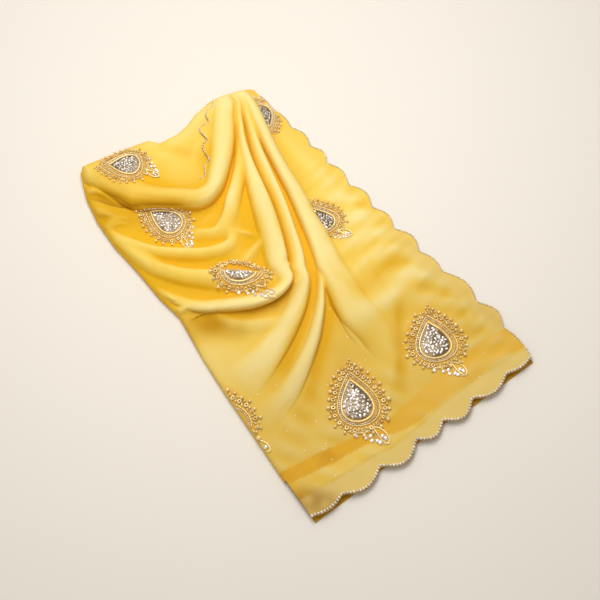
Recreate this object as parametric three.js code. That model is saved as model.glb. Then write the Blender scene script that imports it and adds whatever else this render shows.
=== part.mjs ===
// Silk sari, folded in four across its width and laid on a flat surface.
// Millimetres: x runs across the folded width, y along the length, z up.
// Pleats fan out of a gathered top end. A thick roll of turned cloth lies at the upper left,
// swags hang to the left edge, and a flat panel with a scalloped edge lies on the right.
import * as THREE from 'three';

// ---- driving sizes ----
const clothWall = 1.4; // thickness of a cloth wall, measured square to the cloth
const steepWall = 2.6; // most that a wall may measure straight down where it is steep
const seamGap = 0.3; // clearance between neighbouring stretches and layers
const pileHeight = 7.5; // top of the folded pile where nothing is raised
const foldEdgeHeight = 4.2; // top of the cloth where it turns down at the left and the top
const leftTurn = 10; // width over which the cloth turns down at the left fold
const topTurn = 13; // width over which the cloth turns down at the gathered end
const borderRest = 1.5; // top of the long scalloped edge, which lies on the surface
const cornerLift = { height: 3.4, from: -120, over: 50 }; // how the end corner rises off the surface
const borderSlope = { width: 26, past: 4 }; // how the right panel comes down to that edge and past it
const endHover = { height: 6, past: 14, over: 34 }; // how the cloth levels out at the lifted end
const endLine = -197; // where the end edge's scallops meet
const bandLine = -152; // seam between the body of the cloth and its end border
const lip = { rise: 2, from: -50, over: 40 }; // how the rolled fold's free edge stands above the panel
const crestBlend = 1.5; // softness with which neighbouring folds run into each other

// Left and right edges of the folded cloth, at stations along its length.
const edgeStations = [
  { y: -210, left: -135, right: 152 },
  { y: -141, left: -132, right: 150 },
  { y: -101, left: -129, right: 147 },
  { y: -40, left: -125, right: 138 },
  { y: 3, left: -121, right: 133 },
  { y: 58, left: -113, right: 129 },
  { y: 89, left: -117, right: 126 },
  { y: 130, left: -118, right: 124 },
  { y: 170, left: -121, right: 121 },
  { y: 205, left: -119, right: 119 },
  { y: 235, left: -113, right: 117 },
  { y: 270, left: -100, right: 112 },
];

// Where the scallops of the right edge meet, as y, and how deep the scallop from there is.
const sideScallops = [
  { at: -197, depth: 2.5 },
  { at: -155, depth: 8.5 },
  { at: -115, depth: 8 },
  { at: -65, depth: 4.5 },
  { at: -32, depth: 8 },
  { at: 6, depth: 6.5 },
  { at: 41, depth: 7 },
  { at: 79, depth: 6.5 },
  { at: 115, depth: 6 },
  { at: 143, depth: 5.5 },
  { at: 176, depth: 3 },
  { at: 206, depth: 1 },
  { at: 232, depth: 0 },
];

// Where the scallops of the end edge meet, as x, and how deep the scallop from there is.
const endScallops = [
  { at: -133, depth: 4 },
  { at: -96, depth: 9 },
  { at: -48, depth: 11.5 },
  { at: -1, depth: 8.5 },
  { at: 33, depth: 10 },
  { at: 72, depth: 8 },
  { at: 118, depth: 3.5 },
  { at: 153, depth: 0 },
];

// The gathered end's edge, from left to right.
const topStations = [
  { x: -122, y: 236 },
  { x: -112, y: 252 },
  { x: -95, y: 267 },
  { x: -60, y: 260 },
  { x: -22, y: 251 },
  { x: 0, y: 240 },
  { x: 40, y: 248 },
  { x: 75, y: 250 },
  { x: 94, y: 241 },
  { x: 107, y: 243 },
  { x: 124, y: 224 },
];

// Each fold is a ridge along a curve of four points, from the gathered end to where it fades.
// crest: its height at the start, middle and end. outer and inner: its half widths there, to the
// left and to the right of its way. outerCurve and innerCurve: how steep its flanks are, less is
// steeper. lean: how far it tips over to its outer side for its height. terrace: the height at
// which its inner side ends, where the cloth inside the fold lies on more layers.
const folds = [
  { name: 'roll', run: [[80, 252], [27, 128], [-30, 128], [-106, 262]],
    crest: [11, 17, 11], outer: [10, 13, 11], inner: [20, 26, 20],
    outerCurve: 0.5, innerCurve: 1.5, lean: 0.45, terrace: 6.5 },
  { name: 'riser', run: [[76, 225], [38, 165], [0, 125], [-44, 108]],
    crest: [7, 10, 3], outer: [14, 18, 14], inner: [10, 14, 16],
    outerCurve: 1.2, innerCurve: 0.9, lean: 0, terrace: 0 },
  { name: 'upperSwag', run: [[-6, 101], [-50, 92], [-92, 128], [-128, 186]],
    crest: [2, 8, 5], outer: [12, 16, 12], inner: [14, 20, 16],
    outerCurve: 1.3, innerCurve: 1.6, lean: 0, terrace: 0 },
  { name: 'middleSwag', run: [[-2, 36], [-56, 72], [-104, 100], [-128, 170]],
    crest: [4, 9, 6], outer: [14, 20, 12], inner: [6, 8, 12],
    outerCurve: 1.2, innerCurve: 0.6, lean: 0.1, terrace: 0 },
  { name: 'longPleat', run: [[94, 246], [50, 172], [27, 110], [3, 38]],
    crest: [9, 14, 16], outer: [7, 10, 12], inner: [8, 10, 12],
    outerCurve: 0.6, innerCurve: 0.6, lean: 0.2, terrace: 0 },
  { name: 'longFoot', run: [[5, 46], [-8, 12], [-58, 32], [-112, 68]],
    crest: [15, 11, 5], outer: [11, 10, 8], inner: [10, 10, 10],
    outerCurve: 0.55, innerCurve: 0.9, lean: 0.4, terrace: 0 },
  { name: 'sweepPleat', run: [[98, 246], [54, 124], [50, 2], [-112, -50]],
    crest: [9, 13, 0], outer: [7, 11, 24], inner: [8, 12, 26],
    outerCurve: 0.65, innerCurve: 0.8, lean: 0.15, terrace: 0 },
  { name: 'footPleat', run: [[44, 56], [16, -26], [-30, -66], [-104, -104]],
    crest: [0, 10, 0], outer: [6, 11, 26], inner: [6, 12, 22],
    outerCurve: 0.9, innerCurve: 0.9, lean: 0.1, terrace: 0 },
  { name: 'edgePleat', run: [[104, 250], [84, 136], [44, 24], [36, -92]],
    crest: [11, 14, 0], outer: [10, 14, 22], inner: [9, 13, 18],
    outerCurve: 0.75, innerCurve: 0.6, lean: 0.1, terrace: 0 },
  { name: 'lowSwag', run: [[-18, -12], [-56, 2], [-80, 26], [-100, 62]],
    crest: [1, 4, 2], outer: [12, 18, 12], inner: [8, 10, 8],
    outerCurve: 1.4, innerCurve: 1.2, lean: 0, terrace: 0 },
  { name: 'cornerTuck', run: [[-92, 48], [-104, 60], [-116, 76], [-126, 96]],
    crest: [0, 4, 3], outer: [7, 7, 7], inner: [7, 7, 7],
    outerCurve: 1.0, innerCurve: 1.0, lean: 0, terrace: 0 },
  { name: 'leftTuck', run: [[-70, 172], [-90, 188], [-106, 204], [-122, 222]],
    crest: [0, 4, 4], outer: [8, 8, 8], inner: [6, 7, 8],
    outerCurve: 1.0, innerCurve: 1.0, lean: 0, terrace: 0 },
];

// Soft swells and hollows: centre, turn in degrees, half length, half width and rise.
const swells = [
  { x: 84, y: -57, turn: 0, long: 62, wide: 15, rise: 3.2 },
  { x: 106, y: -31, turn: 3, long: 44, wide: 12, rise: -2.2 },
  { x: 52, y: -16, turn: 98, long: 34, wide: 10, rise: -1.6 },
  { x: 48, y: -112, turn: 52, long: 62, wide: 10, rise: -1.8 },
  { x: 24, y: -92, turn: 60, long: 30, wide: 14, rise: -2.0 },
  { x: -94, y: 22, turn: -30, long: 40, wide: 14, rise: -2.0 },
  { x: 110, y: 40, turn: 60, long: 50, wide: 16, rise: 1.2 },
  { x: 120, y: -110, turn: 20, long: 40, wide: 14, rise: 1.4 },
  { x: -60, y: -140, turn: 10, long: 60, wide: 18, rise: 1.0 },
  { x: 95, y: 100, turn: 80, long: 50, wide: 14, rise: -1.0 },
  { x: -30, y: 205, turn: -20, long: 40, wide: 14, rise: 1.6 },
  { x: 20, y: 222, turn: 40, long: 26, wide: 9, rise: -1.5 },
];

// Lines along the valleys, where one stretch meets the next, from the left or the end border up
// to the gathered end. Facing points of neighbouring lines have the same place in each list.
const valleyLines = {
  panelTop: [[-104, 262], [-95, 265], [-74, 261], [-50, 256], [-22, 249], [-2, 239], [24, 242], [56, 247]],
  rollInner: [[-111, 247], [-88, 236], [-62, 210], [-34, 190], [-6, 180], [16, 193], [32, 218], [65, 247]],
  rollFoot: [[-119, 204], [-92, 204], [-66, 184], [-38, 163], [-8, 148], [24, 162], [54, 192], [86, 243]],
  longInner: [[-115, 76], [-82, 62], [-48, 46], [-14, 42], [8, 80], [28, 128], [52, 182], [91, 241]],
  longOuter: [[-114, 52], [-80, 38], [-40, 18], [0, 19], [27, 72], [47, 132], [68, 186], [96.5, 240]],
  sweepOuter: [[-127, -72], [-92, -58], [-40, -36], [6, -3], [40, 50], [60, 116], [79, 184], [101, 240]],
  edgeInner: [[8, -152], [12, -110], [17, -66], [25, -10], [45, 52], [65, 116], [83.5, 184], [104.5, 240]],
  edgeOuter: [[70, -152], [60, -100], [52, -50], [52, 8], [72, 74], [86, 140], [94, 196], [108, 238]],
  sideSeam: [[129, -152], [124, -100], [116, -40], [109, 20], [103, 80], [101, 140], [98, 196], [112, 234]],
};

const stepsAlong = 30; // cells along every stretch between two valley lines
const silkYellow = 0xf0c23e;
const deepYellow = 0xd99a14;
const shadeYellow = 0xb9831a;

// ---- helpers for tables ----
// Straight-line reading of a table of rows: the value of one column where another has the key.
function readTable(rows, keyName, valueName, key) {
  const last = rows.length - 1;
  if (key <= rows[0][keyName]) return rows[0][valueName];
  if (key >= rows[last][keyName]) return rows[last][valueName];
  const after = rows.findIndex((row) => row[keyName] >= key);
  const low = rows[after - 1];
  const high = rows[after];
  const share = (key - low[keyName]) / (high[keyName] - low[keyName]);
  return low[valueName] + (high[valueName] - low[valueName]) * share;
}

const leftEdge = (y) => readTable(edgeStations, 'y', 'left', y);
const rightEdge = (y) => readTable(edgeStations, 'y', 'right', y);
const topEdge = (x) => readTable(topStations, 'x', 'y', x);
const clamp01 = (q) => Math.min(Math.max(q, 0), 1);

// S-shaped rise from 0 to 1.
function smoothRise(q) {
  const c = clamp01(q);
  return c * c * (3 - 2 * c);
}

// Quarter-circle rise from 0 to 1.
function roundRise(q) {
  const c = 1 - clamp01(q);
  return Math.sqrt(Math.max(1 - c * c, 0));
}

// Value at share t along evenly spaced values, eased from each to the next.
function easeThrough(values, t) {
  const place = clamp01(t) * (values.length - 1);
  const index = Math.min(Math.floor(place), values.length - 2);
  return values[index] + (values[index + 1] - values[index]) * smoothRise(place - index);
}

const scallopShape = { fullness: 0.45, notch: 0.03 }; // lower is fuller, higher is a softer notch

// One scallop from its start to its end: 0 where it meets its neighbours and 1 in its middle.
function scallopArch(share) {
  const { fullness, notch } = scallopShape;
  const low = Math.pow(notch, fullness);
  const wave = Math.pow(Math.sin(Math.PI * clamp01(share)) ** 2 + notch, fullness);
  return (wave - low) / (Math.pow(1 + notch, fullness) - low);
}

// How far the scallops of a table stand out at a place along their edge.
function scallopReach(scallops, place) {
  let k = 0;
  while (k < scallops.length - 2 && place > scallops[k + 1].at) k += 1;
  const { at, depth } = scallops[k];
  return depth * scallopArch((place - at) / (scallops[k + 1].at - at));
}

// ---- the cloth's surface ----
const runSamples = 60;

// A fold's cubic curve, its four points and evenly spaced places along it.
function sampleRun(run) {
  const corners = run.map((point) => new THREE.Vector2(...point));
  const curve = new THREE.CubicBezierCurve(...corners);
  return { curve, corners, places: curve.getPoints(runSamples) };
}

const foldRuns = folds.map((fold) => sampleRun(fold.run));

// Speed along a cubic curve at share t: its derivative by its four points.
function curveSpeed([a, b, c, d], t) {
  const s = 1 - t;
  const first = b.clone().sub(a).multiplyScalar(3 * s * s);
  const second = c.clone().sub(b).multiplyScalar(6 * s * t);
  const third = d.clone().sub(c).multiplyScalar(3 * t * t);
  return first.add(second).add(third);
}

// Where a point lies against a fold: share along it, distance to its side (outer side positive),
// distance past its ends, and the direction of its outer side.
function besideFold(x, y, run) {
  let index = 0;
  let shortest = Infinity;
  run.places.forEach((place, i) => {
    const distance = (x - place.x) ** 2 + (y - place.y) ** 2;
    if (distance < shortest) {
      shortest = distance;
      index = i;
    }
  });
  const point = new THREE.Vector2(x, y);
  let t = index / runSamples;
  for (let pass = 0; pass < 2; pass += 1) {
    const speed = curveSpeed(run.corners, t);
    t = clamp01(t + point.clone().sub(run.curve.getPoint(t)).dot(speed) / speed.lengthSq());
  }
  const way = curveSpeed(run.corners, t).normalize();
  const away = point.sub(run.curve.getPoint(t));
  const over = t === 0 || t === 1 ? away.dot(way) : 0;
  return { t, side: way.cross(away), over, outward: [-way.y, way.x] };
}

const endStretch = 1.2; // a fold ends over this many of its half widths

// Height of one fold: (1 - (side / width)^2)^curve of its crest, on its terrace inside.
function foldRise(x, y, fold, run) {
  const { t, side, over } = besideFold(x, y, run);
  const outside = side > 0;
  const width = easeThrough(outside ? fold.outer : fold.inner, t);
  const reach = (side / width) ** 2 + (over / (endStretch * width)) ** 2;
  const shape = Math.pow(clamp01(1 - reach), outside ? fold.outerCurve : fold.innerCurve);
  const base = outside ? 0 : fold.terrace;
  return base + (easeThrough(fold.crest, t) - base) * shape;
}

const swellFall = 1.6; // how quickly a swell fades away from its centre

// Height of one swell: a bell over its turned ellipse.
function swellRise(x, y, swell) {
  const turn = THREE.MathUtils.degToRad(swell.turn);
  const dx = x - swell.x;
  const dy = y - swell.y;
  const u = (dx * Math.cos(turn) + dy * Math.sin(turn)) / swell.long;
  const v = (-dx * Math.sin(turn) + dy * Math.cos(turn)) / swell.wide;
  return swell.rise * Math.exp(-(u * u + v * v) * swellFall);
}

// Top of the cloth over the point (x, y).
function clothTop(x, y) {
  let sum = 1;
  folds.forEach((fold, i) => {
    sum += Math.exp(foldRise(x, y, fold, foldRuns[i]) / crestBlend) - 1;
  });
  let z = pileHeight + crestBlend * Math.log(sum);
  for (const swell of swells) z += swellRise(x, y, swell);
  const turnDown = roundRise((x - leftEdge(y)) / leftTurn) * roundRise((topEdge(x) - y) / topTurn);
  z = foldEdgeHeight + (z - foldEdgeHeight) * turnDown;
  const rest = borderRest + cornerLift.height * smoothRise((cornerLift.from - y) / cornerLift.over);
  z = rest + (z - rest) * smoothRise((rightEdge(y) - x + borderSlope.past) / borderSlope.width);
  const level = Math.min(endHover.height, z);
  return level + (z - level) * smoothRise((y - endLine + endHover.past) / endHover.over);
}

// Top of the turned panel, which passes under the rolled fold's free edge on the right arm.
function panelTop(x, y) {
  return clothTop(x, y) - lip.rise * smoothRise((x - lip.from) / lip.over);
}

// Thickness straight down that gives the wall its thickness square to the cloth.
function wallDown(x, y, topOf) {
  const step = 1;
  const slopeX = (topOf(x + step, y) - topOf(x - step, y)) / (2 * step);
  const slopeY = (topOf(x, y + step) - topOf(x, y - step)) / (2 * step);
  return Math.min(clothWall * Math.hypot(1, slopeX, slopeY), steepWall);
}

// Underside of the cloth, which stops at the surface that the sari lies on.
function clothUnder(x, y, topOf) {
  return Math.max(topOf(x, y) - wallDown(x, y, topOf), 0);
}

// Distances beside a fold and past its ends within which the cloth tips with it, and the shares
// of its length over which the lean sets in and fades out.
const leanReach = { side: 22, past: 10, start: 0.16, end: 0.2 };

// Tips every point sideways by its height, so that the folds hang over on their outer side.
function leanPoint(x, y, z) {
  let shiftX = 0;
  let shiftY = 0;
  folds.forEach((fold, i) => {
    if (fold.lean === 0) return;
    const { t, side, over, outward } = besideFold(x, y, foldRuns[i]);
    const near = Math.exp(-((side / leanReach.side) ** 2) - (over / leanReach.past) ** 2);
    const fade = smoothRise(t / leanReach.start) * smoothRise((1 - t) / leanReach.end);
    shiftX += outward[0] * fold.lean * near * fade;
    shiftY += outward[1] * fold.lean * near * fade;
  });
  const rise = Math.max(z - pileHeight, 0);
  return [x + shiftX * rise, y + shiftY * rise, z];
}

// ---- closed solids from grids ----
// Closes two grids of points, one above the other, into a shell. Rows and columns run alike.
function closedShell(upper, lower) {
  const rows = upper.length;
  const columns = upper[0].length;
  const positions = [...upper.flat(), ...lower.flat()].flat();
  const top = (r, c) => r * columns + c;
  const low = (r, c) => rows * columns + top(r, c);
  const faces = [];
  const quad = (a, b, c, d) => faces.push(a, b, c, a, c, d);
  for (let r = 0; r < rows - 1; r += 1) {
    for (let c = 0; c < columns - 1; c += 1) {
      quad(top(r, c), top(r, c + 1), top(r + 1, c + 1), top(r + 1, c));
      quad(low(r, c), low(r + 1, c), low(r + 1, c + 1), low(r, c + 1));
    }
  }
  for (let c = 0; c < columns - 1; c += 1) {
    quad(top(0, c), low(0, c), low(0, c + 1), top(0, c + 1));
    quad(top(rows - 1, c), top(rows - 1, c + 1), low(rows - 1, c + 1), low(rows - 1, c));
  }
  for (let r = 0; r < rows - 1; r += 1) {
    quad(top(r, 0), top(r + 1, 0), low(r + 1, 0), low(r, 0));
    quad(top(r, columns - 1), low(r, columns - 1), low(r + 1, columns - 1), top(r + 1, columns - 1));
  }
  return outwardGeometry(positions, faces);
}

// Geometry whose faces point out: they are turned round where its volume comes out negative.
function outwardGeometry(positions, faces) {
  const corner = (i) => new THREE.Vector3(...positions.slice(3 * i, 3 * i + 3));
  let volume = 0;
  for (let i = 0; i < faces.length; i += 3) {
    const [a, b, c] = [corner(faces[i]), corner(faces[i + 1]), corner(faces[i + 2])];
    volume += a.dot(b.cross(c)) / 6;
  }
  if (volume < 0) faces.reverse();
  const geometry = new THREE.BufferGeometry();
  geometry.setAttribute('position', new THREE.Float32BufferAttribute(positions, 3));
  geometry.setIndex(faces);
  geometry.computeVertexNormals();
  return geometry;
}

// Cloth wall over a grid of plan points, between its top and its underside.
function wallOverPlan(plan, topOf) {
  const upper = plan.map((row) => row.map(([x, y]) => leanPoint(x, y, topOf(x, y))));
  const lower = plan.map((row) => row.map(([x, y]) => leanPoint(x, y, clothUnder(x, y, topOf))));
  return closedShell(upper, lower);
}

// ---- the stretches between the valley lines ----
const mix = (a, b, t) => a + (b - a) * t;

// Point at a share of the smooth curve through a valley line's points.
function valleyPoint(name, share) {
  const points = valleyLines[name].map((point) => new THREE.Vector2(...point));
  return new THREE.SplineCurve(points).getPoint(share);
}

// Point on the left outline between two heights.
function leftOutline(fromY, toY, across) {
  const y = mix(fromY, toY, across);
  return [leftEdge(y), y];
}

// The lower stretch starts down the left fold, turns the corner and runs along the border's seam.
const cornerShare = 0.42;

function cornerOutline(across) {
  const [, startY] = valleyLines.sweepOuter[0];
  const [endX] = valleyLines.edgeInner[0];
  if (across <= cornerShare) return leftOutline(startY, bandLine, across / cornerShare);
  return [mix(leftEdge(bandLine), endX, (across - cornerShare) / (1 - cornerShare)), bandLine];
}

// Plan grid between two valley lines, whose sides keep half a seam gap from the lines. Its first
// row is pulled onto the outline, and the pull fades along the stretch and with its width.
function stretchPlan(lineA, lineB, cellsAcross, outline) {
  const plan = [];
  for (let i = 0; i <= stepsAlong; i += 1) {
    const share = i / stepsAlong;
    const a = valleyPoint(lineA, share);
    const b = valleyPoint(lineB, share);
    const startA = valleyPoint(lineA, 0);
    const startB = valleyPoint(lineB, 0);
    const inset = seamGap / 2 / a.distanceTo(b);
    const pull = ((1 - share) ** 2 * a.distanceTo(b)) / startA.distanceTo(startB);
    const row = [];
    for (let j = 0; j <= cellsAcross; j += 1) {
      const across = j / cellsAcross;
      const place = a.clone().lerp(b, mix(inset, 1 - inset, across));
      const start = startA.clone().lerp(startB, across);
      const [edgeX, edgeY] = outline ? outline(across) : [start.x, start.y];
      row.push([place.x + (edgeX - start.x) * pull, place.y + (edgeY - start.y) * pull]);
    }
    plan.push(row);
  }
  return plan;
}

function stretchMesh(name, colour, plan, topOf) {
  const material = new THREE.MeshStandardMaterial({ color: colour, roughness: 0.55, metalness: 0 });
  const mesh = new THREE.Mesh(wallOverPlan(plan, topOf), material);
  mesh.name = name;
  return mesh;
}

// Outline of a stretch that starts at the left fold, between the first points of its two lines.
function leftStart(lineA, lineB) {
  const [, yA] = valleyLines[lineA][0];
  const [, yB] = valleyLines[lineB][0];
  return (across) => leftOutline(yA, yB, across);
}

const stretches = [
  { name: 'turned_panel', from: 'panelTop', to: 'rollInner', cells: 9, top: panelTop },
  { name: 'rolled_fold', from: 'rollInner', to: 'rollFoot', cells: 7 },
  { name: 'swag_stretch', from: 'rollFoot', to: 'longInner', cells: 11 },
  { name: 'long_pleat', from: 'longInner', to: 'longOuter', cells: 7 },
  { name: 'sweep_pleat', from: 'longOuter', to: 'sweepOuter', cells: 8 },
  { name: 'lower_stretch', from: 'sweepOuter', to: 'edgeInner', cells: 12, corner: true },
  { name: 'edge_pleat', from: 'edgeInner', to: 'edgeOuter', cells: 7, atBorder: true },
  { name: 'side_panel', from: 'edgeOuter', to: 'sideSeam', cells: 6, atBorder: true },
];

function addStretches(group) {
  for (const { name, from, to, cells, top, corner, atBorder } of stretches) {
    let outline = leftStart(from, to);
    if (corner) outline = cornerOutline;
    if (atBorder) outline = null;
    group.add(stretchMesh(name, silkYellow, stretchPlan(from, to, cells, outline), top ?? clothTop));
  }
}

// ---- the borders ----
const sideBorderTop = 232; // where the right edge ends at the gathers
const sideNotchInset = 0.5; // how far the right edge's notches lie inside its outline

function scallopedRight(y) {
  return rightEdge(y) - sideNotchInset + scallopReach(sideScallops, y);
}

function scallopedEnd(x) {
  return endLine - scallopReach(endScallops, x);
}

// Scalloped strip along the right edge, from the end border's seam to the gathered end.
function sideBorderPlan() {
  const steps = 66;
  const cells = 3;
  const plan = [];
  for (let i = 0; i <= steps; i += 1) {
    const share = i / steps;
    const seam = valleyPoint('sideSeam', share);
    const y = mix(bandLine, sideBorderTop, share);
    const outer = scallopedRight(y);
    const row = [];
    for (let j = 0; j <= cells; j += 1) {
      const across = j / cells;
      row.push([mix(seam.x + seamGap / 2, outer, across), mix(seam.y, y, across)]);
    }
    plan.push(row);
  }
  return plan;
}

// The end border: the full width between the left fold and the right edge, scalloped at its end.
function endBorderPlan() {
  const steps = 56;
  const cells = 4;
  const plan = [];
  for (let i = 0; i <= steps; i += 1) {
    const row = [];
    for (let j = 0; j <= cells; j += 1) {
      const across = j / cells;
      const nearY = bandLine - seamGap;
      const roughY = mix(nearY, endLine, across);
      const x = mix(leftEdge(roughY), scallopedRight(roughY), i / steps);
      row.push([x, mix(nearY, scallopedEnd(x), across)]);
    }
    plan.push(row);
  }
  return plan;
}

// The lowest layer shows below the lifted scallops as a plain straight edge.
const underLayer = { edge: -203, back: -158, leftInset: 0.5, rightInset: 2 };

function underBorderPlan() {
  const steps = 20;
  const cells = 3;
  const plan = [];
  for (let i = 0; i <= steps; i += 1) {
    const row = [];
    for (let j = 0; j <= cells; j += 1) {
      const y = mix(underLayer.back - seamGap, underLayer.edge, j / cells);
      const left = leftEdge(y) + underLayer.leftInset;
      row.push([mix(left, rightEdge(y) - underLayer.rightInset, i / steps), y]);
    }
    plan.push(row);
  }
  return plan;
}

function addBorders(group) {
  group.add(stretchMesh('side_border', silkYellow, sideBorderPlan(), clothTop));
  group.add(stretchMesh('end_border', deepYellow, endBorderPlan(), clothTop));
  group.add(stretchMesh('under_border', shadeYellow, underBorderPlan(), () => clothWall));
}

// ---- the hidden layers ----
const pileLayers = 3; // folded layers that show at the pile's edge
const layerBulge = 1.4; // how far each layer's fold stands out
const pileClearance = 1.4; // clearance under the cloth, more than its facets sag
const pileFloor = 0.6; // least height of the pile
const pileReach = 7.5; // the cloth is looked at this far round each point of the pile
const pileGrid = { steps: 30, cells: 22 };
// How far the pile stays inside the cloth's outline, its end and the top of its left side.
const pileInset = { left: 3.2, top: 4, right: 17, end: underLayer.back + 2.5, topLeft: 236 };

// Top of the hidden layers: lower than the cloth's underside everywhere near the point.
function pileTop(x, y) {
  let lowest = Infinity;
  for (const dx of [-pileReach, 0, pileReach]) {
    for (const dy of [-pileReach, 0, pileReach]) {
      lowest = Math.min(lowest, clothUnder(x + dx, y + dy, panelTop));
    }
  }
  return Math.max(lowest - pileClearance, pileFloor);
}

// Grid over the pile: x from the left inset to the right inset, y from the end to the top inset.
function pilePoints() {
  const points = [];
  for (let i = 0; i <= pileGrid.steps; i += 1) {
    const row = [];
    for (let j = 0; j <= pileGrid.cells; j += 1) {
      const share = i / pileGrid.steps;
      const roughY = mix(pileInset.end, pileInset.topLeft, share);
      const left = leftEdge(roughY) + pileInset.left;
      const right = rightEdge(roughY) - pileInset.right;
      const roughX = mix(left, right, j / pileGrid.cells);
      const y = mix(pileInset.end, topEdge(roughX) - pileInset.top, share);
      const x = Math.max(roughX, leftEdge(y) + pileInset.left);
      row.push([x, y, pileTop(x, y)]);
    }
    points.push(row);
  }
  return points;
}

// The grid's rim, once round, as row and column pairs.
function rimOf(grid) {
  const rows = grid.length;
  const columns = grid[0].length;
  const rim = [];
  for (let c = 0; c < columns - 1; c += 1) rim.push([0, c]);
  for (let r = 0; r < rows - 1; r += 1) rim.push([r, columns - 1]);
  for (let c = columns - 1; c > 0; c -= 1) rim.push([rows - 1, c]);
  for (let r = rows - 1; r > 0; r -= 1) rim.push([r, 0]);
  return rim;
}

// A ring round the pile's side, at a share of its height there and standing out from its rim.
function sideRing(grid, rim, share, out) {
  return rim.map(([r, c], k) => {
    const [x, y, z] = grid[r][c];
    const [beforeRow, beforeColumn] = rim[(k + rim.length - 1) % rim.length];
    const [afterRow, afterColumn] = rim[(k + 1) % rim.length];
    const [beforeX, beforeY] = grid[beforeRow][beforeColumn];
    const [afterX, afterY] = grid[afterRow][afterColumn];
    const way = new THREE.Vector2(afterX - beforeX, afterY - beforeY).normalize();
    return [x + way.y * out, y - way.x * out, z * share];
  });
}

// One rounded solid for all the layers that do not show. Its side is a stack of folded layers,
// each of which stands out by the bulge at half its height, and its foot is flat.
function hiddenLayers() {
  const grid = pilePoints();
  const columns = grid[0].length;
  const positions = grid.flat().map(([x, y, z]) => leanPoint(x, y, z));
  const faces = [];
  for (let r = 0; r < pileGrid.steps; r += 1) {
    for (let c = 0; c < pileGrid.cells; c += 1) {
      const a = r * columns + c;
      faces.push(a, a + 1, a + columns + 1, a, a + columns + 1, a + columns);
    }
  }
  const rim = rimOf(grid);
  let above = rim.map(([r, c]) => r * columns + c);
  const levels = 2 * pileLayers;
  for (let level = 1; level <= levels; level += 1) {
    const out = level % 2 === 1 ? layerBulge : 0;
    const ring = sideRing(grid, rim, 1 - level / levels, out);
    const below = ring.map((point) => positions.push(point) - 1);
    above.forEach((a, k) => {
      const next = (k + 1) % rim.length;
      faces.push(above[next], a, below[k], above[next], below[k], below[next]);
    });
    above = below;
  }
  const foot = above.map((index) => new THREE.Vector2(positions[index][0], positions[index][1]));
  for (const [a, b, c] of THREE.ShapeUtils.triangulateShape(foot, [])) {
    faces.push(above[a], above[c], above[b]);
  }
  return outwardGeometry(positions.flat(), faces);
}

function addHiddenLayers(group) {
  const material = new THREE.MeshStandardMaterial({ color: shadeYellow, roughness: 0.7, metalness: 0 });
  const mesh = new THREE.Mesh(hiddenLayers(), material);
  mesh.name = 'hidden_layers';
  group.add(mesh);
}

// ---- the sari ----
function buildSari() {
  const cloth = new THREE.Group();
  addStretches(cloth);
  addBorders(cloth);
  addHiddenLayers(cloth);
  const box = new THREE.Box3().setFromObject(cloth);
  const centre = box.getCenter(new THREE.Vector3());
  cloth.position.set(-centre.x, -centre.y, -box.min.z);
  const sari = new THREE.Group();
  sari.add(cloth);
  return sari;
}

export default buildSari();
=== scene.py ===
import math
import bpy
import numpy as np
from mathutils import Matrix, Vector


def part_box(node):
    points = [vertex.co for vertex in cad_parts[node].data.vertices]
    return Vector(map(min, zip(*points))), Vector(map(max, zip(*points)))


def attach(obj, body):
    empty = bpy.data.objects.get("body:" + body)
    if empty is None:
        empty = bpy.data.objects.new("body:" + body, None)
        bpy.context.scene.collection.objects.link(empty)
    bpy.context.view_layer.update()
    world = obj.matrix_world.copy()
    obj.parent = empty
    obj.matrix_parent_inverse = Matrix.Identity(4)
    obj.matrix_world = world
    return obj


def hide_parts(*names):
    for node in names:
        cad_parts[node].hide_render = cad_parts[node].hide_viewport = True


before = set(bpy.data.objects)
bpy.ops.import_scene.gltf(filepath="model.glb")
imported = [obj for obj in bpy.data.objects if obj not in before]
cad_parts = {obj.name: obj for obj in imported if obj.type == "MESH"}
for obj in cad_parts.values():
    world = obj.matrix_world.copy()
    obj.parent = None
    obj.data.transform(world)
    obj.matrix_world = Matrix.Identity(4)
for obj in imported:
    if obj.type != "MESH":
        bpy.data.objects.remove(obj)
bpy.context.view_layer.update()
mm = 0.001  # tables below are in millimetres, in the plan of the folded cloth

# the cloth's form: x across the folded width, y along the length, z up
pile = {
    "height": 7.5,  # top of the pile where nothing is raised
    "edge": 6.2,  # top of the cloth where it turns down at the left and the top
    "leftTurn": 10.0, "topTurn": 13.0,  # widths over which it turns down
    "rest": 1.5, "restLift": 3.4, "restFrom": -120.0, "restOver": 50.0,  # right edge, lifted at the corner
    "slope": 26.0, "slopePast": 4.0,  # how the right panel comes down to that edge
    "hover": 6.0, "hoverPast": 14.0, "hoverOver": 34.0,  # how the cloth levels out at the lifted end
    "endLine": -197.0, "bandLine": -152.0, "sideEnd": 232.0,  # end edge, its seam, far end of the right edge
    "lip": 2.0, "lipFrom": -50.0, "lipOver": 40.0, "lipEnd": 16.0,  # step under the rolled fold's free edge
    "blend": 1.5,
}
# left and right edges at stations along y
edgeStations = np.array([
    (-210, -135, 152), (-141, -132, 150), (-101, -129, 147), (-40, -125, 138), (3, -121, 133),
    (58, -113, 129), (89, -117, 126), (130, -118, 124), (170, -121, 121), (205, -119, 119),
    (235, -113, 117), (270, -100, 112)], float)
# the gathered end's edge, x then y
topStations = np.array([
    (-122, 236), (-112, 254), (-95, 271), (-76, 267), (-42, 260), (-20, 255), (-11, 244), (12, 242),
    (28, 245), (43, 251), (68, 255), (82, 252), (92, 249), (103, 247), (112, 244), (119, 238),
    (124, 226)], float)
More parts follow.
